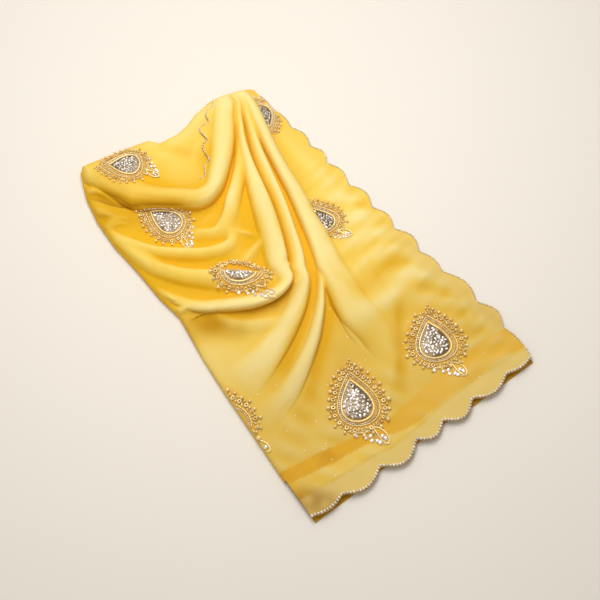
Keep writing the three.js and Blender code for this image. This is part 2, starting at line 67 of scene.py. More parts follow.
# where the scallops of the right edge meet (y) and of the end edge (x), and each one's depth
sideScallops = np.array([
    (-197, 2.5), (-155, 8.5), (-115, 8), (-65, 4.5), (-32, 8), (6, 6.5), (41, 7), (79, 6.5), (115, 6),
    (143, 5.5), (176, 3), (206, 1), (232, 0)])
endScallops = np.array([(-133, 4), (-96, 9), (-48, 11.5), (-1, 8.5), (33, 10), (72, 8), (118, 3.5), (153, 0)])
scallopShape = {"fullness": 0.45, "notch": 0.03}
# each fold: name, steepness on its outer (left of its way) and inner side, how soft its foot is, how far it
# tips outwards, the terrace inside it, and stations of x, y, crest, outer and inner half width
foldRows = (
    ("roll", 0.45, 1.0, 0.15, 0.35, 6.5, (
        (84, 252, 8, 9, 8), (74, 246, 11, 12, 8), (56, 223, 13, 16, 10), (36, 198, 15, 17, 11),
        (16, 176, 16, 16, 10), (0, 163, 16, 15, 9), (-16, 163, 15, 17, 10), (-33, 176, 15, 17, 10),
        (-52, 191, 15, 18, 12), (-68, 205, 14, 19, 18), (-79, 222, 12, 14, 20), (-88, 242, 10, 13, 20),
        (-98, 262, 7, 10, 14))),
    ("riser", 0.7, 0.5, 0.45, -0.5, 0, (
        (82, 238, 5, 4, 4), (66, 204, 6, 6, 4), (47, 175, 8, 8, 5), (29, 153, 9, 9, 7), (12, 136, 10, 9, 8),
        (0, 124, 9, 9, 8), (-14, 112, 6, 9, 8), (-24, 100, 0, 9, 8))),
    ("riserBranch", 1.1, 0.7, 1.0, 0, 0, (
        (-8, 122, 5, 8, 6), (-24, 117, 6, 8, 4), (-40, 126, 4, 7, 4), (-58, 138, 0, 6, 5))),
    ("upperSwag", 1.2, 0.6, 0.5, 0, 0, (
        (-6, 110, 3, 9, 4), (-24, 97, 7, 11, 4), (-47, 103, 8, 13, 4), (-68, 117, 9, 13, 4),
        (-90, 136, 8.5, 12, 5), (-106, 158, 7, 10, 6), (-120, 184, 3, 8, 6))),
    ("middleSwag", 1.0, 0.5, 0.4, 0, 0, (
        (-6, 30, 4, 14, 4), (-20, 46, 8, 17, 4), (-40, 62, 9.5, 20, 4), (-60, 78, 10, 19, 4),
        (-80, 95, 10, 16, 5), (-97, 114, 9, 13, 7), (-108, 137, 8, 10, 9), (-119, 166, 5, 8, 9))),
    ("longPleat", 0.5, 0.6, 0.25, 0.45, 0, (
        (92, 248, 7, 5, 4), (78, 220, 9, 5, 5), (61, 190, 11, 5, 5), (48, 161, 13, 6, 6),
        (36, 131, 14, 8, 8), (25, 102, 15, 10, 10), (13, 73, 15, 11, 11), (3, 49, 14, 11, 11),
        (-3, 32, 12, 9, 8))),
    ("longFoot", 0.5, 0.6, 0.3, 0.5, 0, (
        (5, 36, 11, 6, 6), (-6, 25, 13, 6, 6), (-20, 21, 13, 7, 7), (-39, 25, 12, 8, 8),
        (-57, 34, 11, 9, 8), (-72, 43, 10, 9, 8), (-88, 54, 8.5, 8, 7), (-98, 66, 6, 8, 6),
        (-108, 82, 4, 6, 5), (-116, 96, 2, 5, 4))),
    ("sweepPleat", 0.5, 0.7, 0.3, 0.4, 0, (
        (97, 246, 7, 4, 4), (82, 206, 9, 6, 5), (65, 166, 12, 8, 7), (54, 131, 12.5, 8, 8),
        (44, 98, 13, 9, 8), (33, 67, 13, 9, 9), (23, 40, 12, 9, 9), (9, 16, 11.5, 10, 9),
        (-9, -3, 10.5, 11, 10), (-31, -17, 9, 13, 12), (-57, -28, 7, 16, 14), (-85, -36, 4, 20, 17),
        (-112, -42, 0, 22, 18))),
    ("footPleat", 0.5, 0.7, 0.4, 0.3, 0, (
        (36, 14, 3, 4, 4), (26, 0, 7, 5, 4), (12, -17, 9, 6, 5), (-5, -34, 9.5, 7, 6), (-23, -49, 9, 8, 7),
        (-47, -64, 7.5, 10, 9), (-72, -76, 5.5, 13, 11), (-96, -83, 2.5, 15, 12), (-118, -86, 0, 16, 13))),
    ("edgePleat", 0.8, 0.5, 0.35, -0.25, 0, (
        (103, 246, 8, 7, 5), (98, 222, 10, 9, 7), (90, 194, 12, 9, 8), (82, 163, 13, 9, 8),
        (75, 131, 13, 10, 8), (70, 102, 13, 11, 9), (62, 73, 12.5, 13, 9), (54, 42, 12, 16, 10),
        (44, 11, 11, 19, 11), (38, -14, 10, 22, 13), (33, -40, 8.5, 24, 15), (31, -64, 6, 25, 17),
        (32, -88, 2, 24, 18), (33, -108, 0, 22, 18))),
    ("lowSwag", 1.2, 0.7, 0.8, 0, 0, (
        (-24, -12, 2, 10, 6), (-48, -1, 5, 12, 6), (-64, 9, 5.5, 11, 6), (-76, 22, 5, 9, 6),
        (-84, 40, 2, 8, 6))),
    ("smallCrossing", 0.9, 0.7, 0.9, 0, 0, (
        (-117, 62, 3, 4, 4), (-106, 62, 5, 5, 4), (-92, 60, 5, 5, 5), (-80, 52, 0, 5, 5))),
    ("slantSwag", 0.9, 0.6, 1.0, 0, 0, (
        (12, 82, 5, 6, 5), (-2, 76, 6, 7, 4), (-18, 71, 4, 6, 4), (-34, 66, 0, 5, 4))),
    ("thinCrease", 0.9, 0.7, 1.0, 0, 0, (
        (-16, 110, 2, 4, 3), (-4, 98, 3.5, 4, 3), (8, 82, 3, 4, 3))),
    ("cornerTuck", 0.8, 0.6, 0.9, 0, 0, (
        (-116, 242, 3, 4, 4), (-104, 237, 5, 6, 4), (-96, 226, 5.5, 6, 4), (-91, 212, 3, 6, 4),
        (-84, 200, 0, 5, 4))),
    ("leftTuck", 0.8, 0.6, 0.9, 0, 0, (
        (-121, 220, 3, 6, 4), (-111, 207, 5.5, 7, 4), (-101, 194, 4.5, 7, 5), (-86, 184, 0, 6, 5))),
    ("lowTuck", 0.8, 0.8, 0.9, 0, 0, (
        (-121, 192, 3, 6, 4), (-108, 191, 5, 7, 5), (-96, 188, 4, 8, 6), (-80, 178, 0, 8, 6))),
)
foldColumns = ("name", "outCurve", "inCurve", "soft", "lean", "terrace", "run")
folds = [dict(zip(foldColumns, row)) for row in foldRows]
# soft swells and hollows: x, y, turn in degrees, half length, half width, rise
swells = np.array([
    (84, -57, 0, 62, 15, 3.2), (106, -31, 3, 44, 12, -2.2), (50, -16, 102, 34, 9, -2.2),
    (48, -112, 52, 62, 10, -1.8), (24, -92, 60, 30, 14, -1.6), (110, 40, 60, 50, 16, 1.2),
    (120, -110, 20, 40, 14, 1.4), (-60, -140, 10, 60, 18, 1.0), (95, 100, 80, 50, 14, -0.6),
    (-44, 236, -20, 34, 16, 2.0), (-6, 226, -55, 26, 8, -2.0), (24, 214, 30, 26, 9, 1.5)])
# small creases that only the finished cloth has, in the columns of the swells
fineCreases = np.array([
    (70, 20, 82, 60, 4, 0.7), (84, -20, 75, 44, 4, -0.6), (118, -62, 12, 30, 5, 0.9),
    (128, -84, -30, 24, 4, -0.8), (60, -88, 62, 40, 4, 0.6), (96, -100, 80, 30, 4, 0.5),
    (20, -130, 40, 40, 5, 0.6), (-40, -110, 30, 50, 5, 0.7), (-84, -90, 20, 36, 5, -0.7),
    (-70, -60, 24, 40, 4, 0.8), (-20, -60, 40, 34, 4, -0.7), (-100, -120, 60, 30, 5, 0.5),
    (-60, 118, 20, 34, 4, 0.8), (-84, 140, 50, 24, 4, -0.8), (-30, 134, 10, 30, 4, 0.6),
    (-50, 84, 24, 30, 3, 0.7), (-64, 48, 30, 26, 3, -0.7), (-96, 100, 50, 20, 3, 0.8),
    (-104, 122, 60, 18, 3, -0.7), (-20, 226, 10, 30, 5, 0.8), (-44, 236, -30, 26, 4, -0.8),
    (10, 208, 50, 20, 4, 0.9), (92, 60, 74, 50, 4, 0.5), (106, 100, 84, 40, 4, -0.5),
    (104, -4, 40, 24, 5, 0.6), (126, -20, 60, 20, 4, -0.6), (132, -120, 70, 24, 5, 0.7),
    (100, -140, 10, 40, 4, -0.5)])
# edges where one layer lies on the next: rise of the upper one, reach it fades over, the side it keeps to
# (1 is left of the line's way), and the line
overlaps = (
    (3.4, 9, -1, ((-116, 236), (-112, 231), (-105, 221), (-98, 209), (-89, 199), (-80, 189))),
    (1.6, 7, -1, ((-118, 214), (-112, 205), (-104, 200), (-99, 192))),
    (1.4, 8, -1, ((-122, 196), (-113, 188), (-102, 186), (-90, 176))),
    (1.5, 10, 1, ((-119, 34), (-110, 47), (-96, 46), (-74, 38))),
    (1.2, 7, 1, ((-115, 88), (-108, 76), (-98, 72))),
)
# lines along the valleys, from the left fold or the end border up to the gathers
valleyLines = {
    "panelTop": ((-97, 269), (-76, 267), (-42, 260), (-22, 255), (-8, 243), (14, 242), (42, 251), (62, 254)),
    "rollInner": (
        (-108, 247), (-88, 240), (-64, 214), (-36, 192), (-6, 176), (16, 190), (34, 218), (68, 254)),
    "rollFoot": (
        (-119, 204), (-92, 204), (-66, 184), (-38, 163), (-8, 148), (24, 162), (54, 192), (88, 250)),
    "longInner": ((-115, 76), (-82, 62), (-48, 46), (-14, 42), (8, 80), (28, 128), (52, 182), (93, 248)),
    "longOuter": ((-114, 52), (-80, 36), (-40, 12), (4, 14), (27, 68), (47, 132), (68, 186), (97.5, 247.5)),
    "sweepOuter": (
        (-127, -72), (-92, -58), (-40, -36), (6, -3), (40, 50), (60, 116), (79, 184), (102, 246.5)),
    "edgeInner": (
        (8, -152), (12, -110), (17, -66), (25, -10), (45, 52), (65, 116), (83.5, 184), (106, 245.5)),
    "edgeOuter": ((70, -152), (64, -100), (58, -50), (60, 8), (76, 74), (88, 140), (98, 196), (111, 244)),
    "sideSeam": (
        (129, -152), (124, -100), (116, -40), (109, 20), (105, 80), (105, 140), (108, 196), (116, 240.5)),
}
overlapEnd = 12.0  # an overlap runs out over this length at its last point


def leftEdge(y):  # the outline's x at the left fold, straight between the stations
    return np.interp(y, edgeStations[:, 0], edgeStations[:, 1])


def rightEdge(y):  # the outline's x at the right, before its scallops
    return np.interp(y, edgeStations[:, 0], edgeStations[:, 2])


def topEdge(x):  # the outline's y at the gathered end
    return np.interp(x, topStations[:, 0], topStations[:, 1])


def smoothRise(q):  # S-shaped rise from 0 to 1: 3q^2 - 2q^3
    q = np.clip(q, 0, 1)
    return q * q * (3 - 2 * q)


def roundRise(q):  # quarter-circle rise from 0 to 1
    q = 1 - np.clip(q, 0, 1)
    return np.sqrt(np.clip(1 - q * q, 0, 1))


def scallopReach(scallops, place):  # how far the edge stands out: rounded sine of the share, by depth
    k = np.clip(np.searchsorted(scallops[:, 0], place) - 1, 0, len(scallops) - 2)
    share = np.clip((place - scallops[k, 0]) / (scallops[k + 1, 0] - scallops[k, 0]), 0, 1)
    fullness, notch = scallopShape["fullness"], scallopShape["notch"]
    low = notch**fullness
    wave = (np.sin(np.pi * share) ** 2 + notch) ** fullness
    return scallops[k, 1] * (wave - low) / ((1 + notch) ** fullness - low)


def splinePoints(corners, share):  # Catmull-Rom curve through evenly spaced corners
    corners = np.array(corners, float)
    last = len(corners) - 1
    place = share * last
    index = np.minimum(place.astype(int), last - 1)
    w = (place - index)[:, None]
    p1, p2 = corners[index], corners[index + 1]
    p0 = corners[np.maximum(index - 1, 0)]
    p3 = corners[np.minimum(index + 2, last)]
    v0, v1 = (p2 - p0) * 0.5, (p3 - p1) * 0.5
    return (2 * p1 - 2 * p2 + v0 + v1) * w**3 + (-3 * p1 + 3 * p2 - 2 * v0 - v1) * w**2 + v0 * w + p1


foldLook = {
    "samples": 14, "chunk": 20000, "near": 64.0,  # points between stations and at once, and the fold's reach
    "flat": 2.4, "spread": 1.35, "streak": 0.02,  # flatness of the crest, width of the bell, unevenness
    "reach": 22.0, "past": 10.0, "fadeIn": 0.10, "fadeOut": 0.16,  # where the lean acts and how it fades
}
for fold in folds:
    count = (len(fold["run"]) - 1) * foldLook["samples"]
    fold["path"] = splinePoints(fold["run"], np.linspace(0, 1, count + 1))
    legs = np.diff(fold["path"][:, :2], axis=0)
    ends = np.concatenate([legs[:1], legs, legs[-1:]])
    way = ends[:-1] + ends[1:]
    fold["way"] = way / np.linalg.norm(way, axis=1, keepdims=True)


def besideFold(points, fold):  # nearest place: share, side (left is outer), past the ends, way out, sizes
    path, ways = fold["path"], fold["way"]
    nearest = np.empty(len(points), int)
    for start in range(0, len(points), foldLook["chunk"]):
        part = slice(start, start + foldLook["chunk"])
        nearest[part] = ((points[part][:, None] - path[:, :2]) ** 2).sum(-1).argmin(1)
    last = len(path) - 1
    along = ((points - path[nearest, :2]) * ways[nearest]).sum(-1)
    step = np.linalg.norm(np.diff(path[:, :2], axis=0), axis=1)
    place = nearest + np.where(along > 0, along / step[np.minimum(nearest, last - 1)],
                               along / step[np.maximum(nearest - 1, 0)])
    place = np.clip(place, 0, last)
    index = np.minimum(place.astype(int), last - 1)
    w = (place - index)[:, None]
    here = path[index] * (1 - w) + path[index + 1] * w
    way = ways[index] * (1 - w) + ways[index + 1] * w
    away = points - here[:, :2]
    side = way[:, 0] * away[:, 1] - way[:, 1] * away[:, 0]
    over = np.where((place <= 0) | (place >= last), (away * way).sum(-1), 0)
    return place / last, side, over, np.stack([-way[:, 1], way[:, 0]], -1), here[:, 2:]


def foldRise(fold, share, side, over, sizes):  # (1 - reach^flat)^curve mixed with a wide bell, on its terrace
    outside = side > 0
    width = np.where(outside, sizes[:, 1], sizes[:, 2])
    reach = (side / width) ** 2 + (over / (1.2 * width)) ** 2
    curve = np.where(outside, fold["outCurve"], fold["inCurve"])
    core = np.clip(1 - reach ** (foldLook["flat"] / 2), 0, 1) ** curve
    bell = np.exp(-reach / foldLook["spread"])
    shape = core + fold["soft"] * (bell - core)
    shape *= 1 + foldLook["streak"] * np.sin(side * 0.42 + share * 9) * np.sin(share * 15 + side * 0.2)
    base = np.where(outside, 0, fold["terrace"])
    return base + (sizes[:, 0] - base) * shape


def bells(x, y, rows):  # sum of bells over turned ellipses
    total = np.zeros(len(x))
    for cx, cy, turn, long, wide, rise in rows:
        angle = math.radians(turn)
        u = ((x - cx) * math.cos(angle) + (y - cy) * math.sin(angle)) / long
        v = (-(x - cx) * math.sin(angle) + (y - cy) * math.cos(angle)) / wide
        total += rise * np.exp(-(u * u + v * v) * 1.6)
    return total


def besideLine(x, y, corners):  # distance to a line of points and the side: above 0 left of its way
    corners = np.array(corners, float)
    best, side = np.full(len(x), 1e9), np.zeros(len(x))
    for (ax, ay), (bx, by) in zip(corners[:-1], corners[1:]):
        lx, ly = bx - ax, by - ay
        share = np.clip(((x - ax) * lx + (y - ay) * ly) / (lx * lx + ly * ly), 0, 1)
        dx, dy = x - ax - share * lx, y - ay - share * ly
        away = np.hypot(dx, dy)
        closer = away < best
        best = np.where(closer, away, best)
        side = np.where(closer, lx * dy - ly * dx, side)
    return best, np.sign(side)


def overlapRise(x, y):  # rise * e^(-distance / reach) on the upper layer's side, nothing on the other
    total = np.zeros(len(x))
    for rise, reach, keep, corners in overlaps:
        away, side = besideLine(x, y, corners)
        ends = np.hypot(x - corners[-1][0], y - corners[-1][1])
        total += rise * np.exp(-away / reach) * (side == keep) * smoothRise(ends / overlapEnd)
    return total


crinkle = {
    "edge": 0.6, "edgeWave": 15.0, "edgeReach": 30.0, "edgeUpTo": 150,  # across the right edge
    "flat": 0.60, "flatWave": 27.0, "flatFrom": 45, "flatUpTo": 110,  # slanting over the flat panel
    "low": 0.55, "lowWave": 24.0, "lowFrom": 60, "lowUpTo": -70,  # over the lower left part
}


def crinkles(x, y):  # faint wrinkles: sines with a wandering phase
    inside = np.maximum(rightEdge(y) - x, 0)
    wander = 1.9 * np.sin(y / 21) + 0.6 * np.sin(inside / 9)
    edge = np.sin(2 * np.pi * (y + 0.25 * inside) / crinkle["edgeWave"] + wander)
    edge *= crinkle["edge"] * np.exp(-inside / crinkle["edgeReach"])
    edge *= smoothRise((crinkle["edgeUpTo"] - y) / 60)
    slant = (0.52 * x + 0.85 * y) + 9 * np.sin(x / 37 + 0.6) + 6 * np.sin((x - y) / 29)
    flat = np.sin(2 * np.pi * slant / crinkle["flatWave"] + 1.3 * np.sin(x / 19))
    flat *= crinkle["flat"] * smoothRise((x - crinkle["flatFrom"]) / 40)
    flat *= smoothRise((crinkle["flatUpTo"] - y) / 60)
    slant = 0.9 * x + 0.45 * y + 7 * np.sin(y / 26)
    low = np.sin(2 * np.pi * slant / crinkle["lowWave"]) * np.sin(0.06 * y - 0.045 * x + 1.1)
    low *= crinkle["low"] * smoothRise((crinkle["lowUpTo"] - y) / 50)
    low *= smoothRise((crinkle["lowFrom"] - x) / 50)
    return edge + flat + low


def clothForm(x, y):  # top of the cloth and its sideways lean for each millimetre of height
    total = np.ones(len(x))
    shift = np.zeros((len(x), 2))
    points = np.stack([x, y], -1)
    for fold in folds:
        low = fold["path"][:, :2].min(0) - foldLook["near"]
        high = fold["path"][:, :2].max(0) + foldLook["near"]
        close = np.flatnonzero(((points > low) & (points < high)).all(1))
        if fold["terrace"]:
            close = np.arange(len(points))
        share, side, over, outward, sizes = besideFold(points[close], fold)
        total[close] += np.exp(foldRise(fold, share, side, over, sizes) / pile["blend"]) - 1
        if fold["lean"]:
            near = np.exp(-((side / foldLook["reach"]) ** 2) - (over / foldLook["past"]) ** 2)
            fade = smoothRise(share / foldLook["fadeIn"]) * smoothRise((1 - share) / foldLook["fadeOut"])
            shift[close] += outward * (fold["lean"] * near * fade)[:, None]
    z = pile["height"] + pile["blend"] * np.log(total) + bells(x, y, swells) + bells(x, y, fineCreases)
    z = z + overlapRise(x, y) + crinkles(x, y)
    turnDown = roundRise((x - leftEdge(y)) / pile["leftTurn"]) * roundRise((topEdge(x) - y) / pile["topTurn"])
    z = pile["edge"] + (z - pile["edge"]) * turnDown
    rest = pile["rest"] + pile["restLift"] * smoothRise((pile["restFrom"] - y) / pile["restOver"])
    z = rest + (z - rest) * smoothRise((rightEdge(y) - x + pile["slopePast"]) / pile["slope"])
    level = np.minimum(pile["hover"], z)
    z = level + (z - level) * smoothRise((y - pile["endLine"] + pile["hoverPast"]) / pile["hoverOver"])
    return z, shift


def leanPoints(x, y, z, shift):  # tips points sideways by their height above the pile
    rise = np.maximum(z - pile["height"], 0)
    return np.stack([x + shift[:, 0] * rise, y + shift[:, 1] * rise, z], -1)


# the under border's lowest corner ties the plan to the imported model
underEdge = {
    "y": -203.0, "back": -158.0, "left": 0.5, "right": 2.0,  # hem, hidden edge, and how far in the sides are
    "hidden": 6.0, "points": (150, 24), "lift": 3.4, "liftFrom": -84, "liftTo": 72,  # hem risen midway
    # tone: deep valley tone and painted shade, for the shadow under the lifted scallops
    "level": 0.9, "wave": 0.35, "wall": 0.5, "tone": (0.95, 0.0, 0.2, 0.45),
}
underLow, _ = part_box("under_border")
planShift = np.array([
    underLow.x / mm - (leftEdge(underEdge["y"]) + underEdge["left"]), underLow.y / mm - underEdge["y"], 0.0])


def toFrame(points):  # plan millimetres to frame metres
    return (points + planShift) * mm


def addPiece(name, points, faces, material, attributes=None):  # one smooth mesh with its colour attributes
    mesh = bpy.data.meshes.new(name)
    mesh.from_pydata(toFrame(points).tolist(), [], [list(map(int, face)) for face in faces])
    for key, values in (attributes or {}).items():
        layer = mesh.attributes.new(key, "FLOAT_COLOR", "POINT")
        rgba = np.ones((len(points), 4), np.float32)
        rgba[:, :values.shape[1]] = values
        layer.data.foreach_set("color", rgba.ravel())
    mesh.shade_smooth()
    mesh.materials.append(material)
    piece = bpy.data.objects.new(name, mesh)
    bpy.context.scene.collection.objects.link(piece)
    return piece


def gridFaces(rows, columns, start=0):  # quads of a grid of points stored row by row
    index = start + np.arange(rows * columns).reshape(rows, columns)
    return np.stack([index[:-1, :-1], index[:-1, 1:], index[1:, 1:], index[1:, :-1]], -1).reshape(-1, 4)


def weld(points, faces):  # joins points at the same place and turns every face upwards
    key = np.round(points, 3)
    _, first, back = np.unique(key, axis=0, return_index=True, return_inverse=True)
    faces = back.ravel()[faces]
    points = points[first]
    a, b, c = (points[faces[:, k]] for k in (0, 1, 2))
    down = np.cross(b - a, c - a)[:, 2] < 0
    faces[down] = faces[down][:, ::-1]
    return points, faces, first


def node(tree, kind, **settings):  # a new shader node with its settings
    made = tree.nodes.new(kind)
    for key, value in settings.items():
        setattr(made, key, value)
    return made


def link(tree, source, target):  # joins two sockets
    tree.links.new(source, target)


def mixColour(tree, factor, first, second, blend="MIX"):  # mixes two colours or sockets by a factor
    mixer = node(tree, "ShaderNodeMix", data_type="RGBA", blend_type=blend)
    for socket, value in ((mixer.inputs[0], factor), (mixer.inputs[6], first), (mixer.inputs[7], second)):
        if isinstance(value, bpy.types.NodeSocket):
            link(tree, value, socket)
        else:
            socket.default_value = value if isinstance(value, float) else (*value, 1.0)
    return mixer.outputs[2]


def newMaterial(name, roughness, metallic=0.0, **sockets):  # a Principled material with further sockets set
    made = bpy.data.materials.new(name)
    made.use_nodes = True
    tree = made.node_tree
    shader = tree.nodes["Principled BSDF"]
    shader.inputs["Roughness"].default_value = roughness
    shader.inputs["Metallic"].default_value = metallic
    for key, value in sockets.items():
        shader.inputs[key.replace("_", " ")].default_value = value
    return made, tree, shader


def toneSplit(tree):  # the tone attribute and its red, green and blue
    tone = node(tree, "ShaderNodeVertexColor", layer_name="tone")
    split = node(tree, "ShaderNodeSeparateColor")
    link(tree, tone.outputs["Color"], split.inputs[0])
    return tone, split


def noise(tree, scale, detail=2.0):  # noise on Object coordinates
    coords = node(tree, "ShaderNodeTexCoord")
    cloud = node(tree, "ShaderNodeTexNoise")
    cloud.inputs["Scale"].default_value = scale
    cloud.inputs["Detail"].default_value = detail
    link(tree, coords.outputs["Object"], cloud.inputs["Vector"])
    return cloud.outputs["Fac"]


def addBump(tree, shader, height, strength, depth):  # relief from a height socket, its depth in metres
    bump = node(tree, "ShaderNodeBump")
    bump.inputs["Strength"].default_value = strength
    bump.inputs["Distance"].default_value = depth
    link(tree, height, bump.inputs["Height"])
    link(tree, bump.outputs[0], shader.inputs["Normal"])


# silk colours: the ridge colour is a painted highlight on crests, the deep colour is painted shade in
# hollows, and shade is the colour of painted shadow
silkLook = {
    "ridge": (0.98, 0.81, 0.33), "light": (0.95, 0.68, 0.13), "deep": (0.86, 0.49, 0.012), "lightAt": 0.45,
    "band": (0.84, 0.46, 0.028), "sheer": (0.88, 0.68, 0.24), "shade": (0.42, 0.28, 0.10),
    "cloud": (0.95, 0.91, 0.84), "cloudScale": 22.0, "cloudDetail": 4.0,
    "roughness": 0.6, "specular": 0.12, "sheen": 0.06, "sheenRoughness": 0.4,
    "weave": 477.4637, "uneven": 0.6, "slub": 260.0, "slubShare": 0.6, "relief": 0.12, "depth": 0.0003,
}


def silkMaterial(name):  # tone attribute: red = valley tone (painted shade in hollows, painted highlight on crests), green = sheer, blue = band, alpha = one minus the painted shade
    made, tree, shader = newMaterial(name, silkLook["roughness"], Sheen_Weight=silkLook["sheen"],
                                     Sheen_Roughness=silkLook["sheenRoughness"])
    shader.inputs["Specular IOR Level"].default_value = silkLook["specular"]
    tone, split = toneSplit(tree)
    # valley ramp: painted highlight on crests through to painted shade in hollows
    ramp = node(tree, "ShaderNodeValToRGB")
    ramp.color_ramp.elements[0].position = 0.0
    ramp.color_ramp.elements[0].color = (*silkLook["ridge"], 1)
    ramp.color_ramp.elements[1].position = 1.0
    ramp.color_ramp.elements[1].color = (*silkLook["deep"], 1)
    middle = ramp.color_ramp.elements.new(silkLook["lightAt"])
    middle.color = (*silkLook["light"], 1)
    link(tree, split.outputs[0], ramp.inputs[0])
    colour = mixColour(tree, split.outputs[1], ramp.outputs[0], silkLook["sheer"])
    colour = mixColour(tree, split.outputs[2], colour, silkLook["band"])
    # painted shade: multiplies the colour towards the shade colour by one minus alpha
    shade = node(tree, "ShaderNodeMath", operation="SUBTRACT")
    shade.inputs[0].default_value = 1.0
    link(tree, tone.outputs["Alpha"], shade.inputs[1])
    colour = mixColour(tree, shade.outputs[0], colour, silkLook["shade"], "MULTIPLY")
    cloud = noise(tree, silkLook["cloudScale"], silkLook["cloudDetail"])
    colour = mixColour(tree, cloud, colour, silkLook["cloud"], "MULTIPLY")
    link(tree, colour, shader.inputs["Base Color"])
    # warp and weft cross, with uneven threads on top
    coords = node(tree, "ShaderNodeTexCoord")
    crossed = node(tree, "ShaderNodeMath", operation="MULTIPLY")
    for k, direction in enumerate(("X", "Y")):
        wave = node(tree, "ShaderNodeTexWave", wave_type="BANDS", bands_direction=direction)
        wave.inputs["Scale"].default_value = silkLook["weave"]
        wave.inputs["Distortion"].default_value = silkLook["uneven"]
        link(tree, coords.outputs["Object"], wave.inputs["Vector"])
        link(tree, wave.outputs["Fac"], crossed.inputs[k])
    relief = node(tree, "ShaderNodeMath", operation="MULTIPLY_ADD")
    link(tree, noise(tree, silkLook["slub"]), relief.inputs[0])
    relief.inputs[1].default_value = silkLook["slubShare"]
    link(tree, crossed.outputs[0], relief.inputs[2])
    addBump(tree, shader, relief.outputs[0], silkLook["relief"], silkLook["depth"])
    return made


sparkle = {"grain": 900.0, "relief": 0.25, "depth": 0.0002}


def sparkleMaterial(name, dark, bright, roughness, metallic):  # each bead or stone has its own tone
    made, tree, shader = newMaterial(name, roughness, metallic)
    _, split = toneSplit(tree)
    link(tree, mixColour(tree, split.outputs[0], dark, bright), shader.inputs["Base Color"])
    addBump(tree, shader, noise(tree, sparkle["grain"]), sparkle["relief"], sparkle["depth"])
    return made


silk = silkMaterial("silk")
silverBead = sparkleMaterial("silverBead", (0.36, 0.26, 0.15), (0.99, 0.92, 0.79), 0.2, 0.3)
goldBead = sparkleMaterial("goldBead", (0.46, 0.22, 0.02), (1.0, 0.80, 0.38), 0.25, 0.25)
# its dark colour also paints the cushion between the stones, painted shade of their gaps
stoneSilver = sparkleMaterial("stoneSilver", (0.20, 0.13, 0.06), (0.99, 0.95, 0.90), 0.15, 0.3)
print("materials ready")


view = {"elevation": 65.0, "azimuth": -37.05, "distance": 1.5, "lens": 85.0, "film": 36.0}


def towards(azimuth, elevation):  # unit vector from the middle of the plan, azimuth 0 looks along +y
    a, e = math.radians(azimuth), math.radians(elevation)
    return np.array([math.sin(a) * math.cos(e), -math.cos(a) * math.cos(e), math.sin(e)])


def aimed(data, place, target):  # an object at a place, looking at the target
    thing = bpy.data.objects.new(data.name, data)
    bpy.context.scene.collection.objects.link(thing)
    thing.location = Vector(place)
    thing.rotation_euler = Vector(target - place).to_track_quat("-Z", "Y").to_euler()
    return thing


target = toFrame(np.zeros(3))
cameraData = bpy.data.cameras.new("camera")
cameraData.lens = view["lens"]
cameraData.sensor_width = view["film"]
camera = aimed(cameraData, target + towards(view["azimuth"], view["elevation"]) * view["distance"], target)
bpy.context.scene.camera = camera

# soft lamps: name, place they are aimed at in the plan, azimuth, elevation, distance, size, power, colour
lightRows = (
    ("key", (0, 0), 152.0, 54.0, 1.6, 0.8, 7.1, (1.0, 0.985, 0.955)),
    ("top", (40, 150), 152.0, 88.0, 0.75, 0.45, 2.5, (1.0, 0.985, 0.955)),
    ("fill", (0, 0), -60.0, 60.0, 1.8, 1.4, 1.2, (1.0, 0.98, 0.95)),
)
for lampName, (aimX, aimY), azimuth, elevation, distance, size, power, tint in lightRows:
    lamp = bpy.data.lights.new(lampName, "AREA")
    lamp.size = size
    lamp.energy = power
    lamp.color = tint
    aim = toFrame(np.array([aimX, aimY, 0.0]))
    aimed(lamp, aim + towards(azimuth, elevation) * distance, aim)

studio = {
    "air": (1.0, 0.97, 0.93, 1), "strength": 0.45,
    "floor": ((0.90, 0.85, 0.77), (0.88, 0.83, 0.75)), "cloudScale": 3.0, "roughness": 0.9, "half": 3.0,
}
world = bpy.data.worlds.new("studio")
bpy.context.scene.world = world
world.use_nodes = True
world.node_tree.nodes["Background"].inputs[0].default_value = studio["air"]
world.node_tree.nodes["Background"].inputs[1].default_value = studio["strength"]
bpy.context.scene.view_settings.view_transform = "Standard"


def paleFloor():  # a large plain square with a faint cloudiness
    made, tree, shader = newMaterial("paleFloor", studio["roughness"])
    floorColour = mixColour(tree, noise(tree, studio["cloudScale"]), *studio["floor"])
    link(tree, floorColour, shader.inputs["Base Color"])
    mesh = bpy.data.meshes.new("floor")
    half = studio["half"]
    corners = [(-half, -half, 0), (half, -half, 0), (half, half, 0), (-half, half, 0)]
    mesh.from_pydata(corners, [], [(0, 1, 2, 3)])
    mesh.materials.append(made)
    floor = bpy.data.objects.new("floor", mesh)
    bpy.context.scene.collection.objects.link(floor)


paleFloor()
print("camera, lights and floor ready")


# coarse height map of the cloth, for telling its hollows, where the silk is painted with shade and its crests
# with highlight: first point, step, size and the blurs' reach
raster = {"low": (-160.0, -230.0), "step": 2.0, "size": (170, 265), "blur": (3, 8)}


def blurred(grid, cells):  # three passes of a running mean of 2 * cells + 1 points each way
    for _ in range(3):
        for axis in (0, 1):
            padded = np.concatenate([np.repeat(grid.take([0], axis), cells, axis), grid,
                                     np.repeat(grid.take([-1], axis), cells, axis)], axis)
            sums = np.cumsum(padded, axis)
            sums = np.concatenate([np.zeros_like(sums.take([0], axis)), sums], axis)
            count = 2 * cells + 1
            grid = (sums.take(range(count, sums.shape[axis]), axis)
                    - sums.take(range(0, sums.shape[axis] - count), axis)) / count
    return grid


def heightRaster():  # how far the cloth lies below its own blurred form, near and wide
    across = raster["low"][0] + raster["step"] * np.arange(raster["size"][0])
    along = raster["low"][1] + raster["step"] * np.arange(raster["size"][1])
    x, y = np.meshgrid(across, along, indexing="ij")
    z, _ = clothForm(x.ravel(), y.ravel())
    z = z.reshape(x.shape)
    near, wide = (blurred(z, cells) - z for cells in raster["blur"])
    return near, wide


